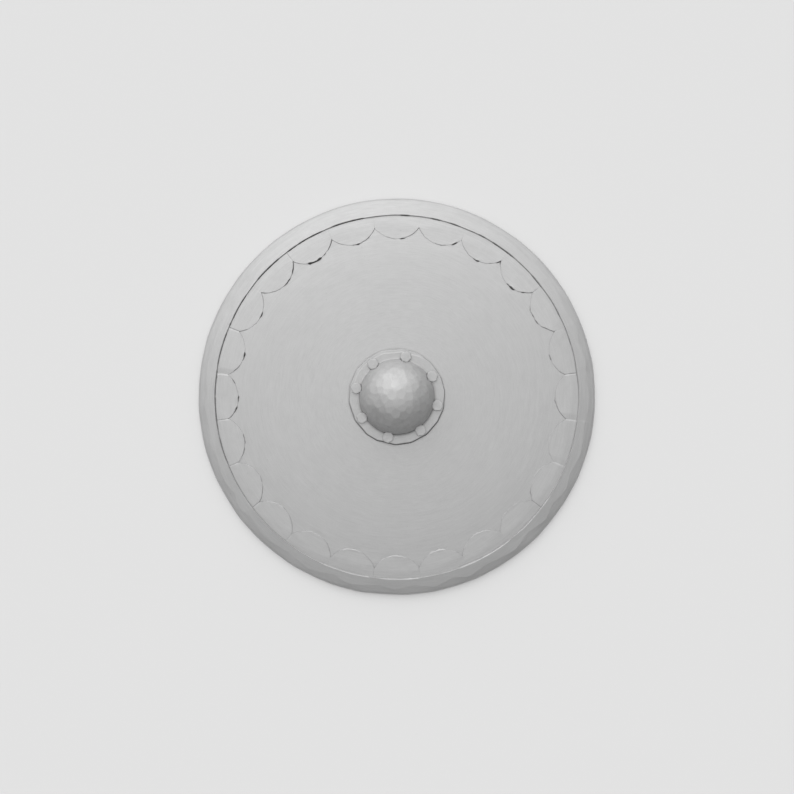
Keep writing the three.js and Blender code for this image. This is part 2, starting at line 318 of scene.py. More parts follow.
# How hard each stretch of a lobe's edge was driven in: (from, to, strength) by clock angle.
EDGES = [
    (356.4, 359.4, 0.9), (1.2, 3.2, 2.0), (3.2, 7.5, 1.0),
    (8, 13, 0.22), (14, 18, 1.6), (19.8, 21.4, 3.3),
    (22.5, 28, 0.15), (29, 31.2, 3.5), (34.6, 35.4, 1.4), (36.6, 38.0, 2.1),
    (44.3, 47.8, 4.3), (50, 51, 2.7), (51, 52.5, 1.4),
    (57.5, 62.7, 2.2), (55.5, 57.5, 1.8), (64, 66, 1.7), (66, 67.8, 1.2),
    (74.6, 76.8, 3.1), (79.5, 80.7, 2.4), (80.7, 82.5, 1.6),
    (90, 93, 2.2), (93, 97.5, 1.4),
    (110.4, 111.2, 1.6),
    (114, 119.5, 0.3), (120, 121.8, 1.3), (124.5, 126, 3.4),
    (137, 137.9, 1.6), (139, 140, 2.0),
    (145, 152, 1.7), (155, 156, 1.8),
    (159, 160.5, 2.0), (162.5, 168, 3.1),
    (177, 183, 2.7), (184.5, 186, 1.8),
    (193.5, 199.2, 3.3), (203.5, 205.5, 1.6),
    (206.5, 212, 1.3), (212.4, 214.8, 2.0),
    (219, 223, 1.2), (223.5, 230.7, 1.6), (232.3, 233.6, 1.6),
    (234, 237, 1.3), (237.6, 240, 2.0), (242.7, 246.6, 1.2),
    (249, 252, 1.6), (252.3, 256.5, 2.4), (257, 262, 0.1),
    (262.8, 264, 1.8), (264.3, 266.4, 3.4), (268, 270.3, 2.8), (274.5, 276.3, 2.0),
    (279, 281.5, 0.9), (281.5, 283, 0.4), (283.5, 286.3, 3.4), (286.8, 292, 0.05),
    (292.6, 294, 2.2), (297, 297.8, 1.6), (299.4, 302.4, 2.6), (303, 307.5, 0.7),
    (307.5, 308.5, 2.0), (309, 312, 0.55), (312, 312.8, 1.6), (314.4, 318.0, 2.3), (318.0, 322.8, 2.0),
    (323, 326, 0.35), (326.4, 331.6, 4.5), (332.7, 337.8, 1.7),
    (338, 342, 0.55), (343.8, 346.4, 2.6), (346.4, 350.4, 1.6), (350.4, 352.5, 0.6),
]
EDGE_S = spots(COLS, EDGES, soft=0.5, base=0.14)
EDGE_S = EDGE_S * (1 + ring_noise(COLS, 7, [(113, 0.20), (71, 0.18), (167, 0.14)]))
EDGE_S = np.maximum(0.04, EDGE_S + ring_noise(COLS, 5, [(97, 0.11), (61, 0.11), (149, 0.09)]))
EDGE_W = 0.07 + 0.40 * EDGE_S  # width of the slanted edge, across it
UPPER = 0.5 + 0.5 * np.cos(rad(COLS + 18))  # the dark lines are kept to the picture's upper half, as in the photo: this weight lays painted shade on the side away from the light, and its opposite lays painted highlight
EDGE_G = 0.36 * np.maximum(0, EDGE_S - 1.5) * (0.25 + 0.75 * UPPER)  # depth of the channel that its foot is driven into
EDGE_G = np.minimum(EDGE_G, 0.85)  # never through the back of the disc

# Grooves between the lobes, from the cusp out to the rim; index k is the one at 15k + 7.5.
GROOVES = np.array([
    0.10, 0.05, 0.08, 0.08, 0.10, 0.75, 0.90, 0.75, 0.60, 0.00, 0.08, 0.45,
    0.32, 0.16, 0.26, 0.60, 0.42, 0.50, 0.95, 0.75, 0.12, 0.45, 0.16, 0.08,
])

# 1 for a groove drawn dark: two short walls and soot down its middle, the soot partly painted shade; 0 for a groove
#                            with one long gentle wall and no soot
DARK_GROOVE = np.ones(LOBES)
DARK_GROOVE[[6, 7, 11, 18]] = 0.0

# The seam under the rim's inner edge.
SEAMS = [
    (1, 4, 3.0), (11, 14, 2.6), (17, 20, 2.6), (27, 29, 2.6), (32, 40, 3.0), (48, 53, 3.0), (61, 64, 2.6),
    (71, 73, 2.6), (79, 86, 2.8), (87, 109, 1.6), (111, 122, 0.6), (123, 137, 1.9), (138, 141, 0.8),
    (142, 160, 2.2), (161, 172, 1.0), (173, 185, 2.1), (189, 204, 2.3), (204.2, 205, 2.8), (205.5, 217, 1.2),
    (217.5, 218.2, 2.8), (218.5, 231, 1.0), (231.5, 247.5, 2.0), (248, 257, 3.0), (257.6, 259, 0.2),
    (259.5, 270, 2.8), (270, 278.4, 2.4), (278.8, 279.4, 0.3), (280, 290.5, 2.6), (291, 293, 1.0), (293, 294, 3.0),
    (295, 304, 2.4), (304.5, 309, 1.2), (310, 319.5, 2.8), (320.5, 322.5, 0.4), (323, 326.5, 2.8),
    (327, 335.5, 2.6), (336.3, 338.5, 0.5), (339, 349.5, 2.6), (350, 351, 0.5),
]
SEAM_S = spots(COLS, SEAMS, soft=0.7, base=0.9)
SEAM_S = np.maximum(0.15, SEAM_S + ring_noise(COLS, 6, [(83, 0.12), (57, 0.14), (131, 0.10), (211, 0.08)]))
SEAM_UP = 0.5 + 0.5 * np.cos(rad(COLS + 32))  # the same for the seam, whose dark part reaches further left: it weights the seam's painted shade, and its opposite the seam's painted highlight
SEAM_W = 0.15 + 0.45 * SEAM_S * (1.25 - 0.25 * UPPER)
SEAM_G = 0.28 * np.maximum(0, SEAM_S - 1.1) * (0.10 + 0.90 * SEAM_UP)
SEAM_MID = 204.35 - 0.35 * np.cos(rad(COLS)) + ring_noise(COLS, 8, [(24, 0.10), (13, 0.10), (37, 0.07)])


def lobe_top(r, k, off):
    """Height of the border's face: each lobe is a flat oval facet cut into the dish, with a crease towards the rim."""
    along = r * np.cos(rad(off))
    across = r * np.sin(rad(off))
    c = crease_r[k]
    plane = border_top(c) + (c - along) * np.tan(rad(oval_tilt[k])) + across * np.tan(rad(oval_side[k]))
    base = border_top(r)
    top = softmin(np.stack([plane, base + 0 * plane]), 0.05)
    # a lobe never sinks under the disc: the worn ones are nearly flush
    least = disc_top(r) + 0.22 * (1 - 0.45 * worn[k])
    top = np.maximum(top - 0.18 * worn[k] * smooth((200 - r) / 14), least)
    # a slight crown across each lobe
    return top + 0.06 * (1 - (off / 7.5) ** 2) * smooth((199 - r) / 8) * (1 - worn[k])


def groove(r, k, off):
    """Depth of the groove between this lobe and its neighbour."""
    side = np.where(off < 0, (k - 1) % LOBES, k)
    d = r * np.sin(rad(7.5 - np.abs(off))) * np.where(off < 0, 1.0, -1.0)
    d = np.where(side < 12, d, -d)
    back_wall = np.where(DARK_GROOVE[side] > 0, 0.55, 6.5)
    return 0.75 * GROOVES[side] * np.maximum(0, np.where(d > 0, 1 - d / 1.15, 1 + d / back_wall))


# ---------------------------------------------------------------------------
# Disc: dished sheet, planished in large faint facets on the face, rougher behind
# ---------------------------------------------------------------------------
def facet_seeds(seed, r0, r1, spacing):
    g = np.random.default_rng(seed)
    pts = []
    tries = 0
    while tries < 2600:
        tries += 1
        r = math.sqrt(g.uniform(r0 * r0, r1 * r1))
        a = g.uniform(0, TAU)
        p = np.array([r * math.cos(a), r * math.sin(a)])
        if all(np.hypot(*(p - q)) > spacing * 0.78 for q in pts):
            pts.append(p)
    return np.array(pts)


FACETS = facet_seeds(4, 62, 206, 27)
_fr = np.hypot(FACETS[:, 0], FACETS[:, 1])
_fz = disc_top(_fr) + np.random.default_rng(9).uniform(-0.02, 0.02, len(_fr))
_ft = np.tan(rad(disc_slope(_fr)))
_fu = FACETS / _fr[:, None]


def disc_face(x, y):
    """Height of the planished face: the tangent planes of the dish, softly joined."""
    shape = x.shape
    x, y = x.ravel(), y.ravel()
    out = np.empty_like(x)
    for s in range(0, len(x), 20000):
        xs, ys = x[s:s + 20000], y[s:s + 20000]
        planes = _fz[:, None] - _ft[:, None] * (
            (xs[None] - FACETS[:, :1]) * _fu[:, :1] + (ys[None] - FACETS[:, 1:]) * _fu[:, 1:])
        planes = np.concatenate([planes, np.full((1, len(xs)), Z_DISC + 0.03)])
        out[s:s + 20000] = softmin(planes, 0.035)
    return out.reshape(shape) - 0.03


def build_disc():
    rows, wear_and_highlight, soot_and_shade, back = [], [], [], []

    def put(r, z, w=0.0, s=0.0, b=0.0):
        rows.append(around(r, COLS, z))
        wear_and_highlight.append(w)
        soot_and_shade.append(s)
        back.append(b)

    def top_z(r):
        p = around(r, COLS, 0)
        z = disc_face(p[:, 0], p[:, 1])
        rr = np.broadcast_to(r, COLS.shape)
        keep = smooth((rr - 54.5) / 4) * smooth((EDGE_R - 1.2 - rr) / 4)
        keep = 0.5 * keep
        # pushed up a little where it runs in between two lobes
        push = 0.28 * smooth((rr - 176) / 14) * smooth((rr - EDGE_R + 22) / 18)
        return disc_top(rr) * (1 - keep) + z * keep + push

    put(OPENING_R, Z_DISC - 0.4, b=0.3)
    put(OPENING_R + 0.4, Z_DISC)
    put(47.0, Z_DISC)
    put(53.0, Z_DISC, s=0.2)
    put(54.3, Z_DISC, s=0.1)
    low, high = EDGE_R - EDGE_W / 2 / SIN_PSI, EDGE_R + EDGE_W / 2 / SIN_PSI
    last = np.minimum(EDGE_R - 5.0, low - 2.4 / SIN_PSI - 0.6)  # rows never cross at a cusp
    steps = 30
    for i in range(steps + 1):
        r = 55.2 + (last - 55.2) * (i / steps)
        put(r, top_z(r))
    # soot by the lobes' edges, weighted to the upper half by UPPER: painted shade with some real soot
    for d in (2.4, 1.1, 0.45):
        r = low - d / SIN_PSI
        put(r, top_z(r), s=0.35 * np.exp(-d / 0.4) * np.maximum(0, EDGE_S - 0.8) * UPPER)
    r = low - 0.07 / SIN_PSI
    z = top_z(r)
    put(r, z, w=0.1, s=0.32 * np.minimum(EDGE_S, 3) * UPPER)
    put(r + 0.03, z - EDGE_G, s=0.3 + 0.7 * UPPER)
    put(high + 0.3, disc_top(high + 0.3) - EDGE_G, s=0.3 + 0.7 * UPPER)
    put(high + 0.9, disc_top(high + 0.9))
    for r in (200.0, SEAM_R, DISC_R):
        put(np.maximum(r, high + 1.5) if r == 200.0 else r, disc_top(np.maximum(r, high + 1.5) if r == 200.0 else r))
    # back, from the hidden edge to the opening, with hammer marks
    for r in (DISC_R, 208.0, 202.0, 194.0, 184.0, 172.0, 160.0, 147.0, 134.0, 121.0, 108.0, 95.0, 83.0, 72.0, 63.0, 55.5, 48.0, 42.0):
        z = disc_top(r) - DISC_T
        p = around(r, COLS, 0)
        dent = 0.10 * fbm(p[:, 0], p[:, 1], 0, 31, 24.0) + 0.05 * fbm(p[:, 0], p[:, 1], 0, 32, 11.0)
        keep = 1.0 if 56 < r < 205 else 0.0
        put(r, z + keep * np.maximum(dent, -0.2), b=1.0)
    put(OPENING_R + 0.4, Z_BACK, b=1.0)
    put(OPENING_R, Z_BACK + 0.4, b=0.8)
    return skin("disc_plate", rows, {"wear_and_highlight": wear_and_highlight, "soot_and_shade": soot_and_shade, "back": back}, closed=True, sharp=35)


# ---------------------------------------------------------------------------
# Scalloped border
# ---------------------------------------------------------------------------
def build_border():
    rows, wear_and_highlight, soot_and_shade = [], [], []

    def put(r, z, w=0.0, s=0.0):
        rows.append(around(r, COLS, z))
        wear_and_highlight.append(w)
        soot_and_shade.append(s)

    k, off = LOBE_OF, OFF
    low, high = EDGE_R - EDGE_W / 2 / SIN_PSI, EDGE_R + EDGE_W / 2 / SIN_PSI
    foot = disc_top(low) - EDGE_G + 0.03

    def top(r):
        return lobe_top(r, k, off) - groove(r, k, off)

    lip = 0.10 * np.maximum(0, EDGE_S - 1.6)  # hard-driven edges leave a small raised lip
    head = top(high) + lip
    H = head - foot
    # soot down the lobes' edges is weighted to the upper half, away from the light: painted shade with some real soot;
    # lit lightens the lower half's edges through the wear channel, a painted highlight
    crevice_soot_and_shade = np.clip(0.52 * (EDGE_S - 0.3), 0, 1.6) * (0.05 + 0.95 * UPPER)
    lit = 0.7 * (1 - UPPER)
    for u, v, w, s in ((0.0, 0.0, 0, 1.0), (0.28, 0.36, 0, 0.95), (0.58, 0.70, 0, 0.8), (0.84, 0.92, 0.25, 0.4)):
        put(low + (high - low) * u, foot + H * v, w=w + lit, s=s * crevice_soot_and_shade)
    put(high, head, w=0.35 + 0.4 * (1 - UPPER))
    put(high + 0.45 / SIN_PSI, top(high + 0.45 / SIN_PSI) + lip * 0.9, w=0.3)
    put(high + 1.2 / SIN_PSI, top(high + 1.2 / SIN_PSI) + lip * 0.45, w=0.1)
    first = high + 2.4 / SIN_PSI
    first = np.minimum(first, 200.0)
    n = 13
    # soot down the middle of the dark grooves, partly painted shade
    gs = np.where(np.abs(7.5 - np.abs(off)) < 0.2, 0.9, 0.0) * DARK_GROOVE[np.where(off < 0, (k - 1) % LOBES, k)]
    for i in range(n + 1):
        r = first + (202.9 - first) * i / n
        z = top(r)
        p = around(r, COLS, 0)
        z = z + 0.035 * fbm(p[:, 0], p[:, 1], 0, 51, 9.0)
        put(r, z, s=gs * groove(r, k, off) * 0.5)
    edge = SEAM_MID - SEAM_W / 2
    # soot where the border meets the rim, weighted to the side away from the light: painted shade with some real soot
    upper = 0.04 + 0.96 * SEAM_UP
    put(edge - 0.5, top(edge - 0.5), s=0.25 * upper)
    put(edge - 0.06, top(edge - 0.06), s=0.6 * upper)
    put(edge - 0.03, border_top(edge) - SEAM_G, s=1.0 * upper)
    r = SEAM_MID + SEAM_W / 2 + 0.3
    put(r, border_top(r) - SEAM_G - 0.02, s=1.0 * upper)
    put(r + 0.5, border_top(r + 0.5) - 0.02)
    put(BORDER_R, border_top(BORDER_R) - 0.02)
    put(BORDER_R, border_top(BORDER_R) - BORDER_T)
    put(208.0, disc_top(208.0) + 0.03)
    put(200.5, disc_top(200.5) + 0.03)
    put(np.minimum(high + 1.4 / SIN_PSI, 199), disc_top(np.minimum(high + 1.4 / SIN_PSI, 199)) + 0.03)
    put(high + 0.35, disc_top(high + 0.35) - EDGE_G + 0.03)
    return skin("border_lobes", rows, {"wear_and_highlight": wear_and_highlight, "soot_and_shade": soot_and_shade}, closed=True, sharp=50)


# ---------------------------------------------------------------------------
# Rim: folded sheet with long faint facets and a slightly wavy edge
# ---------------------------------------------------------------------------
def build_rim():
    c = COLS
    g = np.random.default_rng(77)
    # long facets: the slope steps a little every 12 to 24 degrees
    cuts = np.cumsum(g.uniform(11, 23, 40))
    cuts = cuts[cuts < 352]
    tone = g.uniform(-1, 1, len(cuts) + 1)
    tone2 = g.uniform(-1, 1, len(cuts) + 1)
    which = np.searchsorted(cuts, c) % len(tone)
    d_in = blur_ring(tone[which] * 1.0, 5)
    d_out = blur_ring(tone2[which], 9)
    # the crease between the two bands wanders in and out in short straight runs
    turns = np.cumsum(g.uniform(4.0, 9.5, 80))
    turns = turns[turns < 355]
    outward = np.where(np.arange(len(turns)) % 2 == 0, 1.0, -1.0) * g.uniform(0.35, 1.0, len(turns))
    wave = np.interp(c, np.concatenate([turns - 360, turns, turns + 360]), np.tile(outward, 3))
    lower = 0.5 - 0.5 * np.cos(rad(c + 13))
    r_b = 216.0 - 0.9 * lower + wave * (0.9 + 2.9 * lower)
    r_b = np.clip(blur_ring(r_b, 2), 211.2, 218.9)
    s_in = 20.2 + d_in
    # edge: pulled in a little, unevenly, and never past the CAD's radius
    pull = 0.34 + ring_noise(c, 17, [(7, 0.10), (12, 0.14), (19, 0.14), (33, 0.10), (52, 0.06)]) * (0.6 + 0.6 * lower)
    pull = np.maximum(0.0, pull)
    rr = np.linspace(203.0, ROUND_R, 190)[:, None]
    step = rr[1, 0] - rr[0, 0]
    total = float(rim_top(SEAM_R)) - Z_ROUND + 0.12 * d_out
    s_out = np.degrees(np.arctan(np.clip((total - (r_b - SEAM_R) * np.tan(rad(s_in))) / (ROUND_R - r_b), 0.42, 0.78)))
    slope = s_in + (s_out - s_in) * smooth((rr - r_b) / 1.0 + 0.5)
    t = np.tan(rad(slope))
    fall = np.concatenate([np.zeros((1, len(c))), np.cumsum((t[1:] + t[:-1]) / 2 * step, 0)])
    z_all = Z_ROUND + (fall[-1] - fall)

    def top(r):
        u = np.clip((np.broadcast_to(r, c.shape) - 203.0) / step, 0, len(rr) - 1.001)
        i = u.astype(int)
        f = u - i
        col = np.arange(len(c))
        return z_all[i, col] * (1 - f) + z_all[i + 1, col] * f

    rows, wear_and_highlight, soot_and_shade, back = [], [], [], []

    def put(r, z, w=0.0, s=0.0, b=0.0, moved=1.0):
        rows.append(around(r - pull * moved, c, z))
        wear_and_highlight.append(w)
        soot_and_shade.append(s)
        back.append(b)

    low, high = SEAM_MID - SEAM_W / 2, SEAM_MID + SEAM_W / 2
    foot = border_top(low) - SEAM_G + 0.03
    head = top(high)
    # soot in the seam, weighted to the side away from the light, is painted shade with some real soot; lit lightens the
    # seam on the lower half through the wear channel, a painted highlight
    crevice_soot_and_shade = np.clip(0.38 * SEAM_S, 0, 1.5) * (0.05 + 0.95 * SEAM_UP)
    lit = 0.9 * (1 - SEAM_UP) * smooth((SEAM_S - 1.2) / 0.6)
    for u, v, w, s in ((0.0, 0.0, 0, 1.0), (0.3, 0.38, 0, 0.9), (0.6, 0.72, 0.05, 0.7), (0.85, 0.93, 0.3, 0.3)):
        put(low + (high - low) * u, foot + (head - foot) * v, w=w + lit, s=s * crevice_soot_and_shade, moved=0.0)
    put(high, head, w=0.55, moved=0.0)
    put(high + 0.5, top(high + 0.5), w=0.3, moved=0.0)
    put(high + 1.2, top(high + 1.2), w=0.08, moved=0.0)
    inner, outer = high + 1.2, np.full_like(c, ROUND_R)
    for i in range(1, 8):
        r = inner + (r_b - 0.7 - inner) * i / 7
        put(r, top(r), moved=smooth((r - 207) / 14))
    for d in (-0.28, 0.1, 0.45, 0.8):
        r = r_b + d
        put(r, top(r), moved=smooth((r - 207) / 14), w=0.06)
    for i in range(1, 6):
        r = (r_b + 0.8) + (outer - r_b - 0.8) * i / 5
        put(r, top(r), moved=smooth((r - 207) / 14))
    start = RIM_SLOPE_IN + RIM_SLOPE_GAIN
    for i in range(1, 11):
        a = math.radians(start + (90 - start) * i / 10)
        put(SHIELD_R - EDGE_TOP_R * (1 - math.sin(a)), Z_WIDEST + EDGE_TOP_R * math.cos(a), w=0.35 if i < 6 else 0.2)
    for i in range(1, 9):
        a = math.radians(90 + 90 * i / 8)
        put(SHIELD_R - EDGE_LOW_R * (1 - math.sin(a)), Z_WIDEST + EDGE_LOW_R * math.cos(a), b=0.6 if i > 4 else 0.2)
    put(219.0, 0.0, b=0.8, w=0.3)
    put(RIM_FLAT_IN_R, 0.0, b=1.0, w=0.3)
    lip_wave = ring_noise(c, 19, [(14, 0.25), (23, 0.25), (39, 0.15)])
    put(RIM_FLAT_IN_R - 1.2 + lip_wave * 0.3, (LIP_Z - RIM_T) * 0.10, b=1.0)
    for i in (1, 2, 3, 4):
        f = 0.10 + 0.84 * i / 4
        put(RIM_FLAT_IN_R + (RIM_LIP_R - RIM_FLAT_IN_R) * f + lip_wave * f, (LIP_Z - RIM_T) * f, b=1.0, moved=0.4)
    put(RIM_LIP_R + lip_wave, LIP_Z - RIM_T + 0.25, b=1.0, w=0.7, moved=0)
    put(RIM_LIP_R + lip_wave, LIP_Z - 0.2, b=1.0, w=0.5, moved=0)
    put(RIM_LIP_R + 0.5 + lip_wave, LIP_Z - 0.02, b=1.0, moved=0)
    # inside of the fold
    put(RIM_FLAT_IN_R + 0.8, RIM_T, b=1.0)
    for i in range(4):
        a = math.radians(180 - 90 * i / 3)
        q = EDGE_LOW_R - RIM_T
        put(SHIELD_R - EDGE_LOW_R + q * math.sin(a), Z_WIDEST + q * math.cos(a), b=1.0)
    for i in range(1, 5):
        a = math.radians(90 - (90 - start) * i / 4)
        q = EDGE_TOP_R - RIM_T
        put(SHIELD_R - EDGE_TOP_R + q * math.sin(a), Z_WIDEST + q * math.cos(a), b=1.0)
    put(214.0, top(np.full_like(c, 214.0)) - RIM_T + 0.05, b=1.0, moved=0.5)
    put(high + 1.0, border_top(high + 1.0) + 0.05, b=1.0, moved=0)
    return skin("rim_hem", rows, {"wear_and_highlight": wear_and_highlight, "soot_and_shade": soot_and_shade, "back": back}, closed=True, sharp=50)


# ---------------------------------------------------------------------------
# Boss: hammered dome on a riveted flange
# ---------------------------------------------------------------------------
def dome_seeds():
    g = np.random.default_rng(12)
    bright = np.array([-10.2, 12.4, math.sqrt(37.6 ** 2 - 10.2 ** 2 - 12.4 ** 2)])
    bright /= np.linalg.norm(bright)
    pts = [bright]
    gap = 9.6 / 41.5
    lean = math.radians(20)
    turn = np.array([[math.cos(lean), math.sin(lean), 0], [-math.sin(lean), math.cos(lean), 0], [0, 0, 1]])
    squash = np.diag([0.74, 1.30, 1.15]) @ turn
    for _ in range(9000):
        v = g.normal(size=3)
        v /= np.linalg.norm(v)
        if v[2] < -0.12:
            continue
        if all(np.linalg.norm(squash @ (v - q)) > gap * 0.72 for q in pts):
            pts.append(v)
    d = 41.40 + g.uniform(-0.12, 0.12, len(pts))
    d[0] = 41.20
    return np.array(pts), d


def notch(phi, radius):
    """Horizontal distance at which the dome's wall is set in round each rivet head."""
    out = np.full_like(phi, 99.0)
    for a, p in RIVETS:
        d = phi - math.radians(a)
        side = p * np.sin(d)
        inside = (np.abs(side) < radius) & (np.cos(d) > 0)
        cut = p * np.cos(d) - np.sqrt(np.maximum(radius ** 2 - side ** 2, 0))
        out = np.where(inside, np.minimum(out, cut), out)
    return out


def build_boss():
    n = 432
    phi = np.arange(n) * TAU / n
    clock = (90 - np.degrees(phi)) % 360
    lit_side = 0.5 + 0.5 * np.cos(rad(clock + 13))
    U, D = dome_seeds()
    cut = notch(phi, HEAD_R + 0.35)
    deep = smooth((42.3 - cut) / 1.2)  # 1 inside a seat
    fillet = 1.2 * (1 - deep) + 0.12 * deep
    rows, wear_and_highlight, soot_and_shade, back = [], [], [], []

    def put(h, z, w=0.0, s=0.0, b=0.0):
        h = np.broadcast_to(h, phi.shape)
        z = np.broadcast_to(z, phi.shape)
        rows.append(np.stack([h * np.cos(phi), h * np.sin(phi), z], 1))
        wear_and_highlight.append(w)
        soot_and_shade.append(s)
        back.append(b)

    tone = np.random.default_rng(14).uniform(-1, 1, len(D))
    # facet 0, set where the dome's brightest facet lies, is made lighter through the wear channel: a painted highlight
    tone[0] = 1.6

    def dome_row(elev):
        v = np.stack([np.cos(elev) * np.cos(phi), np.cos(elev) * np.sin(phi), np.sin(elev)], 1)
        dots = v @ U.T
        dist = np.where(dots > 0.2, D[None] / np.maximum(dots, 0.2), 99).T
        rho = softmin(dist, 0.02)
        two = np.sort(dist, 0)[:2]
        ridge = np.exp(-(two[1] - two[0]) / 0.10)
        return np.minimum(rho, DOME_R - 0.03), ridge, tone[np.argmin(dist, 0)]

    apex = softmin((D / np.maximum(U[:, 2], 0.2))[:, None], 0.06)[0]
    rows.append(np.array([0, 0, Z_FLANGE + min(apex, DOME_R - 0.03)]))
    wear_and_highlight.append(0.0)
    soot_and_shade.append(0.0)
    back.append(0.0)
    end = np.arcsin(fillet / 41.5)
    steps = 84
    for i in range(1, steps + 1):
        f = i / steps
        elev = math.pi / 2 + f * (end - math.pi / 2)
        rho, ridge, facet = dome_row(elev)
        h, z = rho * np.cos(elev), rho * np.sin(elev)
        h2 = softmin(np.stack([h, cut]), 0.12)
        put(h2, Z_FLANGE + z, w=0.18 * ridge + 0.45 * np.maximum(0, facet), s=0.30 * smooth((f - 0.92) / 0.08) + 0.10 * np.maximum(0, -facet))
        h_foot = h2
    # foot_highlight is a painted highlight on the fillet's upper left, towards the light; the soot laid on the fillet's
    # other side is painted shade
    foot_highlight = spots(clock, [(292, 367, 1.0)], soft=5, base=0.0)
    for a in (22, 45, 68, 90):
        shine = foot_highlight if a < 80 else 0.0
        a = math.radians(a)
        put(h_foot + fillet * (1 - math.cos(a)), Z_FLANGE + fillet * (1 - math.sin(a)), w=shine, s=0.5 * (1 - lit_side) * (1 - foot_highlight))
    # flange: top, bevel and edge; the bevel is wider and flatter on the upper left
    wobble = ring_noise(clock, 41, [(5, 0.10), (9, 0.14), (14, 0.12), (22, 0.08)])
    corner = np.zeros(n)
    cuts = np.array([8, 27, 44, 66, 83, 104, 121, 142, 163, 181, 204, 219, 241, 263, 282, 303, 322, 343])
    for k2 in range(len(cuts)):
        a, b = cuts[k2], cuts[(k2 + 1) % len(cuts)] + (360 if k2 == len(cuts) - 1 else 0)
        mid, half = (a + b) / 2, (b - a) / 2
        d = np.abs((clock - mid + 180) % 360 - 180)
        inside = d <= half
        corner = np.where(inside, 1 / np.cos(rad(d)) * math.cos(math.radians(half)), corner)
    corner = blur_ring(corner, 3)
    r_out = np.minimum(FLANGE_R, 53.95 * corner + 0.05 + wobble * 0.6)
    # upper left: a shallow step, a terrace and a steep edge; elsewhere: one plain slanted edge
    lit = spots(clock, [(278, 390, 1.0)], soft=7, base=0.0)
    narrow = spots(clock, [(38, 96, 1.0)], soft=6, base=0.0)
    width = (1.55 - 0.55 * narrow + 0.15 * ring_noise(clock, 43, [(7, 0.5), (13, 0.5)])) * (1 - lit) + 3.9 * lit
    r_in = r_out - width
    start_h = h_foot + fillet
    for f in (0.2, 0.45, 0.7, 0.9):
        r = start_h + (r_in - 0.35 - start_h) * f
        x, y = r * np.cos(phi), r * np.sin(phi)
        put(r, Z_FLANGE - 0.03 + 0.03 * fbm(x, y, 0, 44, 9.0))
    put(r_in - 0.35, Z_FLANGE, w=0.2)
    # dark marks the side away from the light: the soot it lays on the edge is painted shade; on the upper left the edge
    # is lightened through the wear channel, a painted highlight
    dark = (1 - lit) * (1 - lit_side)
    # (share of the width, drop) on the plain edge and on the stepped one
    for (u0, z0), (u1, z1), w, g0 in (
        ((0.03, 0.06), (0.02, 0.04), 0.4, 0.0),
        ((0.25, 0.55), (0.13, 0.32), 0.1, 0.6),
        ((0.50, 1.10), (0.17, 0.36), 0.0, 0.8),
        ((0.53, 1.17), (0.20, 0.364), 0.0, 0.8),
        ((0.69, 1.53), (0.73, 0.414), 0.0, 0.9),
        ((0.72, 1.60), (0.76, 0.42), 0.0, 0.9),
        ((0.93, 2.05), (0.84, 0.62), 0.0, 1.0),
        ((1.00, 2.28), (0.985, 1.90), 0.0, 1.0),
    ):
        u, z = u0 * (1 - lit) + u1 * lit, z0 * (1 - lit) + z1 * lit
        put(r_in + width * u, Z_FLANGE - z, w=w + (0.7 * lit if g0 in (0.6, 1.0) else 0.0), s=0.8 * g0 * dark)
    put(r_out, Z_DISC + 0.08, s=0.9 * dark)
    put(r_out - 0.05, Z_DISC + 0.02, s=0.9 * dark)
    put(r_out - 1.5, Z_DISC + 0.02, b=1.0)
    put(46.0, Z_DISC + 0.02, b=1.0)
    # hollow side
    inner_cut = notch(phi, HEAD_R + 0.35 + DOME_T)
    q = DOME_R - DOME_T
    base_r = softmin(np.stack([np.full(n, q), inner_cut]), 0.12)
    put(base_r + 0.5, Z_DISC + 0.02, b=1.0)
    put(base_r, Z_DISC + 0.5, b=1.0, w=0.3)
    put(base_r, Z_FLANGE, b=1.0)
    for i in range(1, 34):
        elev = np.full(n, math.pi / 2 * i / 34)
        rho = dome_row(elev)[0]
        rho = q + (rho - 41.5) * 0.7
        h, z = rho * np.cos(elev), rho * np.sin(elev)
        put(softmin(np.stack([h, inner_cut]), 0.12), Z_FLANGE + z, b=1.0)
    rows.append(np.array([0, 0, Z_FLANGE + q]))
    wear_and_highlight.append(0.0)
    soot_and_shade.append(0.0)
    back.append(1.0)
    return skin("boss_dome", rows, {"wear_and_highlight": wear_and_highlight, "soot_and_shade": soot_and_shade, "back": back}, sharp=50)


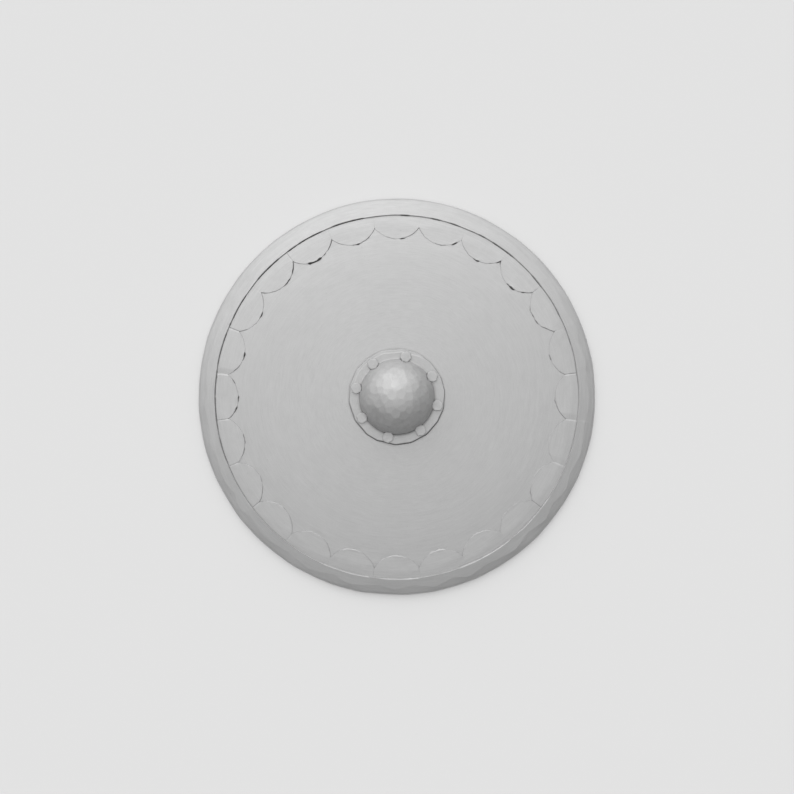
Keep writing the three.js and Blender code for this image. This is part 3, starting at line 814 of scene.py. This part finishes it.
# ---------------------------------------------------------------------------
# Rivets: forged heads, each a little different, and peened tails
# ---------------------------------------------------------------------------
def build_rivet(i):
    a, p = RIVETS[i]
    cx, cy = p * math.cos(math.radians(a)), p * math.sin(math.radians(a))
    g = np.random.default_rng(300 + i)
    n = 96
    t = np.arange(n) * TAU / n
    sides = int(g.integers(7, 9))
    corners = np.sort((np.arange(sides) + g.uniform(-0.2, 0.2, sides)) * TAU / sides + g.uniform(0, TAU)) % TAU
    corners = np.sort(corners)
    shape = np.ones(n)
    for k in range(sides):
        u, v = corners[k], corners[(k + 1) % sides] + (TAU if k == sides - 1 else 0)
        mid, half = (u + v) / 2, (v - u) / 2
        d = np.abs((t - mid + math.pi) % TAU - math.pi)
        shape = np.where(d <= half + 1e-6, math.cos(half) / np.cos(np.minimum(d, half)), shape)
    shape = shape / shape.max() * 1.05
    lean = g.uniform(-0.9, 0.9, 2) * math.pi / 180
    under = Z_DISC + GAP + FLANGE_T - 0.02
    top = Z_FLANGE - 0.1 + 0.3 + HEAD_H
    long = i in LONG
    tail = (Z_STRAP - STRAP_T) if long else Z_BACK
    rows, wear_and_highlight, soot_and_shade = [], [], []

    def put(r, z, w=0.0, s=0.0, round_=False, dx=0.0, dy=0.0):
        q = r * (1.0 if round_ else shape)
        rows.append(np.stack([cx + dx + q * np.cos(t), cy + dy + q * np.sin(t), np.broadcast_to(z, (n,))], 1))
        wear_and_highlight.append(w)
        soot_and_shade.append(s)

    def face(r, drop):
        x, y = r * shape * np.cos(t), r * shape * np.sin(t)
        return top - drop - 0.07 + 0.05 * fbm(x, y, 0, 310 + i, 7.0) + np.tan(lean[0]) * x * 0.5 + np.tan(lean[1]) * y * 0.5

    rows.append(np.array([cx, cy, top - 0.1]))
    wear_and_highlight.append(0.1)
    soot_and_shade.append(0.0)
    for r in (1.3, 2.6, 3.8, 4.8):
        put(r, face(r, 0.0), w=0.1)
    put(5.5, face(5.5, 0.02), w=0.2)
    put(5.78, face(5.78, 0.10), w=0.5)
    put(5.95, face(5.95, 0.28), w=0.3)
    put(6.04, face(6.04, 0.6))
    put(6.08, top - 1.6, s=0.6)
    put(6.09, top - 2.3, s=0.8)
    put(6.08, under + 0.15, s=0.9)
    put(5.98, under, s=0.9)
    put(SHANK_R, under, round_=True)
    put(SHANK_R, tail, round_=True)
    # tail, spread by the hammer
    tshape = 1 + 0.05 * np.sin(3 * t + g.uniform(0, 6)) + 0.03 * np.sin(5 * t + g.uniform(0, 6))
    tshape = np.minimum(tshape, 1.06)
    for r, z, w in ((TAIL_R * 0.92, 0.0, 0), (TAIL_R * 0.955, -0.35, 0.2), (TAIL_R * 0.90, -0.8, 0.6),
                    (TAIL_R * 0.74, -1.2, 0.7), (TAIL_R * 0.5, -1.45, 0.4), (TAIL_R * 0.25, -1.57, 0.2)):
        q = r * tshape / 1.06 * 1.04
        rows.append(np.stack([cx + q * np.cos(t), cy + q * np.sin(t), np.full(n, tail + z)], 1))
        wear_and_highlight.append(w)
        soot_and_shade.append(0.6 if z > -0.2 else 0.0)
    rows.append(np.array([cx, cy, tail - TAIL_H]))
    wear_and_highlight.append(0.2)
    soot_and_shade.append(0.0)
    return skin("rivet_%d" % (i + 1), rows, {"wear_and_highlight": wear_and_highlight, "soot_and_shade": soot_and_shade}, sharp=45)


# ---------------------------------------------------------------------------
# Grip and its strap, across the hand opening at the back
# ---------------------------------------------------------------------------
def rivet_xy(i):
    a, p = RIVETS[i]
    return np.array([p * math.cos(math.radians(a)), p * math.sin(math.radians(a))])


_A, _B = rivet_xy(LONG[0]), rivet_xy(LONG[1])
GRIP_MID = (_A + _B) / 2
GRIP_DIR = (_B - _A) / np.linalg.norm(_B - _A)
GRIP_SIDE = np.array([-GRIP_DIR[1], GRIP_DIR[0]])


def place_bar(points):
    """Bar coordinates (along, across, up) to the shield's."""
    xy = GRIP_MID + points[..., :1] * GRIP_DIR + points[..., 1:2] * GRIP_SIDE
    return np.concatenate([xy, points[..., 2:3]], -1)


def rounded_section(w, z0, z1, r_low, r_high, n=16):
    """Half width w, from z0 to z1, with rounded edges below and above."""
    r_low, r_high = min(r_low, w * 0.98), min(r_high, w * 0.98)
    pts = []
    for cx, cz, r, a0 in ((w - r_high, z1 - r_high, r_high, 0), (-(w - r_high), z1 - r_high, r_high, 90),
                          (-(w - r_low), z0 + r_low, r_low, 180), (w - r_low, z0 + r_low, r_low, 270)):
        for k in range(n):
            a = math.radians(a0 + 90 * k / (n - 1))
            pts.append((cx + r * math.cos(a), cz + r * math.sin(a)))
    return np.array(pts)


def build_grip():
    z0, z1 = Z_BACK - GAP - GRIP_H, Z_BACK - 0.03
    half = GRIP_L / 2
    straight = GRIP_L - GRIP_END_W
    xs = np.concatenate([
        -half + (GRIP_END_W / 2) * (1 - np.cos(np.linspace(0.04, math.pi / 2, 14))),
        np.linspace(-straight / 2, straight / 2, 66)[1:-1],
        half - (GRIP_END_W / 2) * (1 - np.cos(np.linspace(math.pi / 2, 0.04, 14)))])
    rows, wear_and_highlight = [], []
    rows.append(place_bar(np.array([[-half, 0, (z0 + z1) / 2 + 2]]))[0])
    wear_and_highlight.append(0.5)
    for x in xs:
        if abs(x) <= straight / 2:
            w = (GRIP_END_W + (GRIP_W - GRIP_END_W) * math.cos(x / straight * math.pi) ** 2) / 2
        else:
            w = math.sqrt(max((GRIP_END_W / 2) ** 2 - (abs(x) - straight / 2) ** 2, 0.01))
        u = max(0.0, (abs(x) - (half - GRIP_ROUND)) / GRIP_ROUND)
        lift = GRIP_ROUND * (1 - math.sqrt(max(1 - min(u, 1) ** 2, 0)))
        drop = 1.2 * (1 - math.sqrt(max(1 - min(max(0.0, (abs(x) - (half - 1.2)) / 1.2), 1) ** 2, 0)))
        s = rounded_section(w, z0 + lift, z1 - drop, GRIP_ROUND + 1.2, 1.2)
        # handworn: a shallow hollow on each side where the palm closes
        dent = 0.22 * fbm(np.full(len(s), x), s[:, 0], s[:, 1], 61, 26.0)
        centre = np.array([0, (z0 + z1) / 2])
        rel = s - centre
        size = np.linalg.norm(rel, axis=1, keepdims=True)
        rel = rel * (1 - (0.25 + np.abs(dent))[:, None] / np.maximum(size, 3))
        s = centre + rel
        s[:, 1] = np.where(s[:, 1] > z1 - 1.4, np.minimum(s[:, 1] + 0.25, z1), s[:, 1])
        rows.append(place_bar(np.column_stack([np.full(len(s), x), s])))
        corner = ((s[:, 1] < z0 + 5) & (np.abs(s[:, 0]) > w - 5)).astype(float)
        wear_and_highlight.append(0.25 + 0.55 * corner * math.exp(-(x / 38) ** 2))
    rows.append(place_bar(np.array([[half, 0, (z0 + z1) / 2 + 2]]))[0])
    wear_and_highlight.append(0.5)
    return skin("grip_bar", rows, {"wear_and_highlight": wear_and_highlight}, sharp=55)


def build_strap():
    z0, z1 = Z_STRAP - STRAP_T, Z_STRAP + GAP - 0.03
    half, end = STRAP_L / 2, STRAP_W / 2
    xs = np.concatenate([
        -half + end * (1 - np.cos(np.linspace(0.08, math.pi / 2, 12))),
        np.linspace(-half + end, half - end, 70)[1:-1],
        half - end * (1 - np.cos(np.linspace(math.pi / 2, 0.08, 12)))])
    rows, wear_and_highlight = [], []
    rows.append(place_bar(np.array([[-half, 0, (z0 + z1) / 2]]))[0])
    wear_and_highlight.append(0.8)
    for x in xs:
        over = abs(x) - (half - end)
        w = end if over <= 0 else math.sqrt(max(end ** 2 - over ** 2, 0.01))
        w = max(0.2, w - 0.12 - 0.12 * math.sin(x * 0.21 + 1) * (over <= 0))
        s = rounded_section(w, z0, z1, 0.55, 0.15, n=10)
        mark = 0.09 * fbm(np.full(len(s), x), s[:, 0], s[:, 1], 71, 10.0)
        s[:, 1] = np.where(s[:, 1] < z0 + 1.0, s[:, 1] + 0.09 + np.clip(mark, -0.09, 0.12), s[:, 1])
        rows.append(place_bar(np.column_stack([np.full(len(s), x), s])))
        wear_and_highlight.append(0.15 + 0.75 * (np.abs(s[:, 0]) > w - 0.8) * (s[:, 1] < z0 + 0.9))
    rows.append(place_bar(np.array([[half, 0, (z0 + z1) / 2]]))[0])
    wear_and_highlight.append(0.8)
    return skin("grip_backstrap", rows, {"wear_and_highlight": wear_and_highlight, "soot_and_shade": [0.0] * len(rows)}, sharp=45)


# ---------------------------------------------------------------------------
# Materials
# ---------------------------------------------------------------------------
class Nodes:
    """Small helper to write a node tree in a few lines."""

    def __init__(self, name):
        self.mat = bpy.data.materials.new(name)
        self.mat.use_nodes = True
        self.t = self.mat.node_tree
        self.t.nodes.clear()
        self.out = self.t.nodes.new("ShaderNodeOutputMaterial")
        self.bsdf = self.t.nodes.new("ShaderNodeBsdfPrincipled")
        self.t.links.new(self.bsdf.outputs[0], self.out.inputs[0])
        self.coord = self.t.nodes.new("ShaderNodeTexCoord").outputs["Object"]

    def plug(self, socket, value):
        if hasattr(value, "is_output"):
            self.t.links.new(value, socket)
        elif value is not None:
            socket.default_value = value

    def math(self, op, a, b=None, clamp=False):
        n = self.t.nodes.new("ShaderNodeMath")
        n.operation = op
        n.use_clamp = clamp
        self.plug(n.inputs[0], a)
        if b is not None:
            self.plug(n.inputs[1], b)
        return n.outputs[0]

    def scaled(self, scale, turn=(0, 0, 0)):
        n = self.t.nodes.new("ShaderNodeMapping")
        self.plug(n.inputs["Vector"], self.coord)
        n.inputs["Scale"].default_value = scale
        n.inputs["Rotation"].default_value = turn
        return n.outputs[0]

    def noise(self, vector, scale, detail=2.0, rough=0.5, distortion=0.0):
        n = self.t.nodes.new("ShaderNodeTexNoise")
        self.plug(n.inputs["Vector"], vector)
        n.inputs["Scale"].default_value = scale
        n.inputs["Detail"].default_value = detail
        n.inputs["Roughness"].default_value = rough
        n.inputs["Distortion"].default_value = distortion
        return n.outputs["Fac"]

    def voronoi(self, vector, scale, feature="F1", smoothness=None, out="Distance"):
        n = self.t.nodes.new("ShaderNodeTexVoronoi")
        n.feature = feature
        self.plug(n.inputs["Vector"], vector)
        n.inputs["Scale"].default_value = scale
        if smoothness is not None:
            n.inputs["Smoothness"].default_value = smoothness
        return n.outputs[out]

    def ramp(self, value, lo, hi, a=0.0, b=1.0):
        n = self.t.nodes.new("ShaderNodeMapRange")
        n.interpolation_type = "SMOOTHSTEP"
        self.plug(n.inputs["Value"], value)
        n.inputs["From Min"].default_value = lo
        n.inputs["From Max"].default_value = hi
        n.inputs["To Min"].default_value = a
        n.inputs["To Max"].default_value = b
        return n.outputs[0]

    def mix(self, fac, a, b):
        n = self.t.nodes.new("ShaderNodeMix")
        n.data_type = "RGBA"
        self.plug(n.inputs["Factor"], fac)
        self.plug(n.inputs[6], a)
        self.plug(n.inputs[7], b)
        return n.outputs[2]

    def attribute(self, name):
        n = self.t.nodes.new("ShaderNodeAttribute")
        n.attribute_name = name
        return n.outputs["Fac"]

    def bump(self, height, distance, strength=1.0, normal=None):
        n = self.t.nodes.new("ShaderNodeBump")
        n.inputs["Strength"].default_value = strength
        n.inputs["Distance"].default_value = distance
        self.plug(n.inputs["Height"], height)
        if normal is not None:
            self.t.links.new(normal, n.inputs["Normal"])
        return n.outputs[0]


def grey(v, warm=0.0):
    return (v * (1 + warm), v, v * (1 - warm), 1)


METAL = 0.55


def steel(name, base, rough, seed, hammer=0.0, has_back=False, scratch=1.0, metal=METAL):
    n = Nodes(name)
    place = n.t.nodes.new("ShaderNodeMapping")
    n.plug(place.inputs["Vector"], n.coord)
    place.inputs["Location"].default_value = (seed * 0.37, seed * 0.71, seed * 0.13)
    co = place.outputs[0]
    cloud = n.noise(co, 9.0, 2.0, 0.5)  # broad, barely seen change of tone
    patch = n.noise(co, 120.0, 4.0, 0.6, 0.4)  # handling marks, under 10 mm
    grain = n.noise(co, 1400.0, 3.0, 0.65)  # satin grain, under 1 mm

    # polished round and round: short streaks that follow the circle
    split = n.t.nodes.new("ShaderNodeSeparateXYZ")
    n.plug(split.inputs[0], n.coord)
    x, y, z = split.outputs
    radius = n.math("SQRT", n.math("ADD", n.math("MULTIPLY", x, x), n.math("MULTIPLY", y, y)))
    angle = n.math("ARCTAN2", y, x)

    def streaks(fine, long, shift):
        c = n.t.nodes.new("ShaderNodeCombineXYZ")
        n.plug(c.inputs[0], n.math("MULTIPLY", n.math("ADD", radius, z), fine))
        n.plug(c.inputs[1], n.math("MULTIPLY", angle, long))
        c.inputs[2].default_value = shift
        return n.noise(c.outputs[0], 1.0, 2.0, 0.55)

    brush = streaks(2300.0, 9.0, seed * 1.7)
    brush_wide = streaks(620.0, 5.0, seed * 2.9)

    # scratches in three directions, each a thin slice of a long stretched noise
    lines = None
    for k, (turn, stretch) in enumerate((((0, 0, 0.5), 9.0), ((0, 0, 2.1), 7.0), ((0, 0, -0.9), 11.0))):
        m = n.t.nodes.new("ShaderNodeMapping")
        n.plug(m.inputs["Vector"], co)
        m.inputs["Rotation"].default_value = turn
        m.inputs["Scale"].default_value = (1.0, 60.0, 20.0)
        s = n.noise(m.outputs[0], stretch + k, 2.0, 0.5, 0.15)
        thin = n.ramp(n.math("ABSOLUTE", n.math("SUBTRACT", s, 0.5 + 0.03 * k)), 0.0, 0.010, 1.0, 0.0)
        gate = n.ramp(n.noise(co, 23.0 + 7 * k, 1.0), 0.52, 0.62)
        thin = n.math("MULTIPLY", thin, gate)
        lines = thin if lines is None else n.math("MAXIMUM", lines, thin)
    lines = n.math("MULTIPLY", lines, 0.55 * scratch)

    wear_and_highlight = n.attribute("wear_and_highlight")
    soot_and_shade = n.attribute("soot_and_shade")
    # wear and its painted highlight, soot and its painted shade, are broken up so that they don't look drawn
    worn_and_lit = n.math("MULTIPLY", wear_and_highlight, n.ramp(patch, 0.30, 0.62, 0.35, 1.0), clamp=True)
    dirt_and_shade = n.math("MULTIPLY", soot_and_shade, n.ramp(n.noise(co, 260.0, 3.0), 0.25, 0.7, 0.88, 1.02), clamp=True)
    pit = n.voronoi(co, 160.0)
    pit_gate = n.ramp(n.noise(co, 31.0, 2.0), 0.56, 0.66)
    pit = n.math("MULTIPLY", n.ramp(pit, 0.05, 0.13, 1.0, 0.0), pit_gate)

    tone = n.mix(n.ramp(cloud, 0.35, 0.65), grey(base * 0.99), grey(base * 1.01))
    tone = n.mix(n.ramp(patch, 0.40, 0.80, 0.0, 0.30), tone, grey(base * 0.95))
    tone = n.mix(n.ramp(brush, 0.35, 0.72, 0.0, 0.40), tone, grey(base * 0.84))
    tone = n.mix(n.ramp(brush_wide, 0.35, 0.72, 0.0, 0.25), tone, grey(base * 1.10))
    tone = n.mix(n.ramp(grain, 0.38, 0.70, 0.0, 0.25), tone, grey(base * 0.86))
    tone = n.mix(n.math("MULTIPLY", pit, 0.30), tone, grey(base * 0.55))
    tone = n.mix(n.math("MULTIPLY", lines, 0.40), tone, grey(base * 1.22))
    # lighter where worn and darker where sooty: these two mixes also lay the painted highlight and the painted shade
    tone = n.mix(n.math("MULTIPLY", worn_and_lit, 0.50), tone, grey(min(0.72, base * 1.25)))
    tone = n.mix(n.math("MULTIPLY", dirt_and_shade, 0.97), tone, grey(base * 0.07, 0.03))

    r = n.math("ADD", n.ramp(brush, 0.3, 0.7, rough - 0.05, rough + 0.04), n.ramp(patch, 0.3, 0.7, -0.02, 0.02))
    r = n.math("ADD", r, n.ramp(grain, 0.3, 0.7, -0.03, 0.03))
    r = n.math("SUBTRACT", r, n.math("MULTIPLY", worn_and_lit, 0.08))
    r = n.math("SUBTRACT", r, n.math("MULTIPLY", lines, 0.08))
    r = n.math("ADD", r, n.math("MULTIPLY", dirt_and_shade, 0.25))

    # a dull grey film lies over the bare metal, rubbed through where the piece is worn or scratched; the painted
    # highlight in the wear channel bares it too
    bare = n.math("ADD", n.math("MULTIPLY", worn_and_lit, 0.40), n.math("MULTIPLY", lines, 0.30))
    bare = n.math("ADD", bare, n.ramp(brush_wide, 0.3, 0.7, metal - 0.06, metal + 0.06))
    bare = n.math("SUBTRACT", bare, n.math("MULTIPLY", dirt_and_shade, 0.5), clamp=True)

    height = n.math("ADD", n.math("MULTIPLY", grain, 0.35), n.math("MULTIPLY", brush, 0.55))
    height = n.math("ADD", height, n.math("MULTIPLY", brush_wide, 0.5))
    height = n.math("SUBTRACT", height, n.math("MULTIPLY", lines, 0.8))
    height = n.math("SUBTRACT", height, n.math("MULTIPLY", pit, 1.6))
    normal = n.bump(height, 0.00003, 0.8)
    if hammer:
        dents = n.voronoi(co, 170.0, "SMOOTH_F1", 0.6)
        normal = n.bump(dents, 0.00010, hammer, normal)
    if has_back:
        back = n.attribute("back")
        dark = n.mix(n.ramp(n.noise(co, 38.0, 5.0, 0.65, 0.6), 0.35, 0.70), grey(base * 0.42, 0.035), grey(base * 0.74, 0.01))
        tone = n.mix(n.math("MULTIPLY", back, 0.85), tone, dark)
        r = n.math("ADD", r, n.math("MULTIPLY", back, 0.08))
        marks = n.voronoi(co, 95.0, "SMOOTH_F1", 0.7)
        normal = n.bump(n.math("MULTIPLY", marks, back), 0.0004, 0.8, normal)
    n.plug(n.bsdf.inputs["Base Color"], tone)
    n.plug(n.bsdf.inputs["Roughness"], n.math("MAXIMUM", r, 0.15))
    n.plug(n.bsdf.inputs["Metallic"], bare)
    n.plug(n.bsdf.inputs["Normal"], normal)
    return n.mat


def wood(name):
    n = Nodes(name)
    # bar coordinates: turn so that X runs along the grip
    m = n.t.nodes.new("ShaderNodeMapping")
    m.vector_type = "TEXTURE"
    n.plug(m.inputs["Vector"], n.coord)
    m.inputs["Rotation"].default_value = (0, 0, math.atan2(GRIP_DIR[1], GRIP_DIR[0]))
    bar = m.outputs[0]

    def stretched(sx, sy, sz):
        k = n.t.nodes.new("ShaderNodeMapping")
        n.plug(k.inputs["Vector"], bar)
        k.inputs["Scale"].default_value = (sx, sy, sz)
        return k.outputs[0]

    rings = n.t.nodes.new("ShaderNodeTexWave")
    rings.wave_type = "RINGS"
    rings.rings_direction = "X"
    k = n.t.nodes.new("ShaderNodeMapping")
    n.plug(k.inputs["Vector"], bar)
    k.inputs["Location"].default_value = (0, 0.011, 0.035)
    k.inputs["Scale"].default_value = (0.12, 1.0, 1.0)
    n.plug(rings.inputs["Vector"], k.outputs[0])
    rings.inputs["Scale"].default_value = 95.0
    rings.inputs["Distortion"].default_value = 5.0
    rings.inputs["Detail"].default_value = 3.0
    rings.inputs["Detail Scale"].default_value = 1.4
    year = rings.outputs["Fac"]
    fibre = n.noise(stretched(0.05, 1.0, 1.0), 1600.0, 3.0, 0.6)
    pores = n.ramp(n.noise(stretched(0.045, 1.0, 1.0), 2600.0, 1.0, 0.5), 0.62, 0.72)
    cloud = n.noise(bar, 30.0, 3.0, 0.5)
    worn_and_lit = n.attribute("wear_and_highlight")
    tone = n.mix(n.ramp(year, 0.15, 0.9), (0.235, 0.135, 0.070, 1), (0.120, 0.062, 0.030, 1))
    tone = n.mix(n.ramp(fibre, 0.35, 0.7, 0.0, 0.45), tone, (0.095, 0.050, 0.026, 1))
    tone = n.mix(n.ramp(cloud, 0.4, 0.7, 0.0, 0.35), tone, (0.080, 0.042, 0.024, 1))
    tone = n.mix(n.math("MULTIPLY", pores, 0.7), tone, (0.035, 0.018, 0.010, 1))
    tone = n.mix(n.math("MULTIPLY", worn_and_lit, n.ramp(cloud, 0.35, 0.6, 0.1, 0.45)), tone, (0.31, 0.19, 0.105, 1))
    r = n.math("ADD", n.ramp(fibre, 0.3, 0.7, 0.46, 0.60), n.math("MULTIPLY", worn_and_lit, -0.12))
    height = n.math("ADD", n.math("MULTIPLY", fibre, 0.5), n.math("MULTIPLY", year, 0.35))
    height = n.math("SUBTRACT", height, n.math("MULTIPLY", pores, 0.8))
    n.plug(n.bsdf.inputs["Base Color"], tone)
    n.plug(n.bsdf.inputs["Roughness"], r)
    n.plug(n.bsdf.inputs["Normal"], n.bump(height, 0.00012, 0.8))
    n.bsdf.inputs["Specular IOR Level"].default_value = 0.45
    return n.mat


STEEL = 0.44
disc_mat = steel("satin_disc", STEEL, 0.52, 1, has_back=True)
border_mat = steel("satin_border", STEEL * 1.005, 0.52, 2)
rim_mat = steel("satin_rim", STEEL, 0.52, 3, has_back=True, hammer=0.10)
boss_mat = steel("satin_boss", STEEL, 0.49, 4, has_back=True, scratch=0.7, metal=0.60)
rivet_mat = steel("satin_rivet", STEEL, 0.52, 5, hammer=0.2, scratch=0.4)
strap_mat = steel("satin_strap", STEEL * 0.80, 0.46, 6, hammer=0.6)
wood_mat = wood("oiled_wood")

# ---------------------------------------------------------------------------
# Pieces
# ---------------------------------------------------------------------------
finish_piece(build_disc(), ["disc"], disc_mat)
finish_piece(build_border(), ["scalloped_border"], border_mat)
finish_piece(build_rim(), ["rim"], rim_mat)
finish_piece(build_boss(), ["boss"], boss_mat)
for i in range(len(RIVETS)):
    finish_piece(build_rivet(i), ["boss_rivet_%d" % (i + 1)], rivet_mat)
finish_piece(build_grip(), ["grip"], wood_mat)
finish_piece(build_strap(), ["grip_strap"], strap_mat)

# ---------------------------------------------------------------------------
# Stage: pale floor, soft studio light from the top of the picture, slightly left
# ---------------------------------------------------------------------------
floor_mesh = bpy.data.meshes.new("floor")
S = 9.0
floor_mesh.from_pydata([(-S, -S, 0), (S, -S, 0), (S, S, 0), (-S, S, 0)], [], [(0, 1, 2, 3)])
floor = bpy.data.objects.new("floor", floor_mesh)
bpy.context.scene.collection.objects.link(floor)
fm = bpy.data.materials.new("floor")
fm.use_nodes = True
fb = fm.node_tree.nodes["Principled BSDF"]
fb.inputs["Base Color"].default_value = (0.50, 0.50, 0.50, 1)
fb.inputs["Roughness"].default_value = 0.9
fb.inputs["Specular IOR Level"].default_value = 0.1
floor_mesh.materials.append(fm)

G = Vector((-0.225, 0.974, 0))  # where the light comes from, seen from above
FILL, OVERHEAD, SIDE = 0.0, 1.08, 1.55

world = bpy.data.worlds.new("studio")
bpy.context.scene.world = world
world.use_nodes = True
wt = world.node_tree
wt.nodes.clear()
w_out = wt.nodes.new("ShaderNodeOutputWorld")
w_bg = wt.nodes.new("ShaderNodeBackground")
w_co = wt.nodes.new("ShaderNodeTexCoord")


def glow(axis, strength):
    """Light that grows from nothing at right angles to an axis to its full strength along it."""
    dot = wt.nodes.new("ShaderNodeVectorMath")
    dot.operation = "DOT_PRODUCT"
    dot.inputs[1].default_value = [a * strength for a in axis]
    above = wt.nodes.new("ShaderNodeMath")
    above.operation = "MAXIMUM"
    above.inputs[1].default_value = 0.0
    wt.links.new(w_co.outputs["Generated"], dot.inputs[0])
    wt.links.new(dot.outputs["Value"], above.inputs[0])
    return above.outputs[0]


def total(x, y):
    add = wt.nodes.new("ShaderNodeMath")
    add.operation = "ADD"
    wt.links.new(x, add.inputs[0])
    if hasattr(y, "is_output"):
        wt.links.new(y, add.inputs[1])
    else:
        add.inputs[1].default_value = y
    return add.outputs[0]


wt.links.new(total(total(glow((0, 0, 1), OVERHEAD), glow(G, SIDE)), FILL), w_bg.inputs["Strength"])
w_seen = wt.nodes.new("ShaderNodeBackground")  # what the camera itself sees above the floor
w_seen.inputs["Color"].default_value = (0.74, 0.74, 0.74, 1)
w_path = wt.nodes.new("ShaderNodeLightPath")
w_mix = wt.nodes.new("ShaderNodeMixShader")
wt.links.new(w_path.outputs["Is Camera Ray"], w_mix.inputs[0])
wt.links.new(w_bg.outputs[0], w_mix.inputs[1])
wt.links.new(w_seen.outputs[0], w_mix.inputs[2])
wt.links.new(w_mix.outputs[0], w_out.inputs[0])


def lamp(name, elevation, spread, power, shadow):
    """A far, wide soft light towards G."""
    data = bpy.data.lights.new(name, "SUN")
    data.angle = math.radians(spread)
    data.energy = power
    data.use_shadow = shadow
    ob = bpy.data.objects.new(name, data)
    bpy.context.scene.collection.objects.link(ob)
    e = math.radians(elevation)
    d = Vector((G.x * math.cos(e), G.y * math.cos(e), math.sin(e))).normalized()
    ob.rotation_mode = "QUATERNION"
    ob.rotation_quaternion = d.to_track_quat("Z", "Y")
    return ob


lamp("key", 45, 50, 2.4, False).visible_glossy = False
lamp("top", 50, 50, 0.6, True).visible_glossy = False

sc = bpy.context.scene
sc.view_settings.view_transform = "Standard"
sc.view_settings.look = "None"
sc.view_settings.exposure = 0
sc.view_settings.gamma = 1
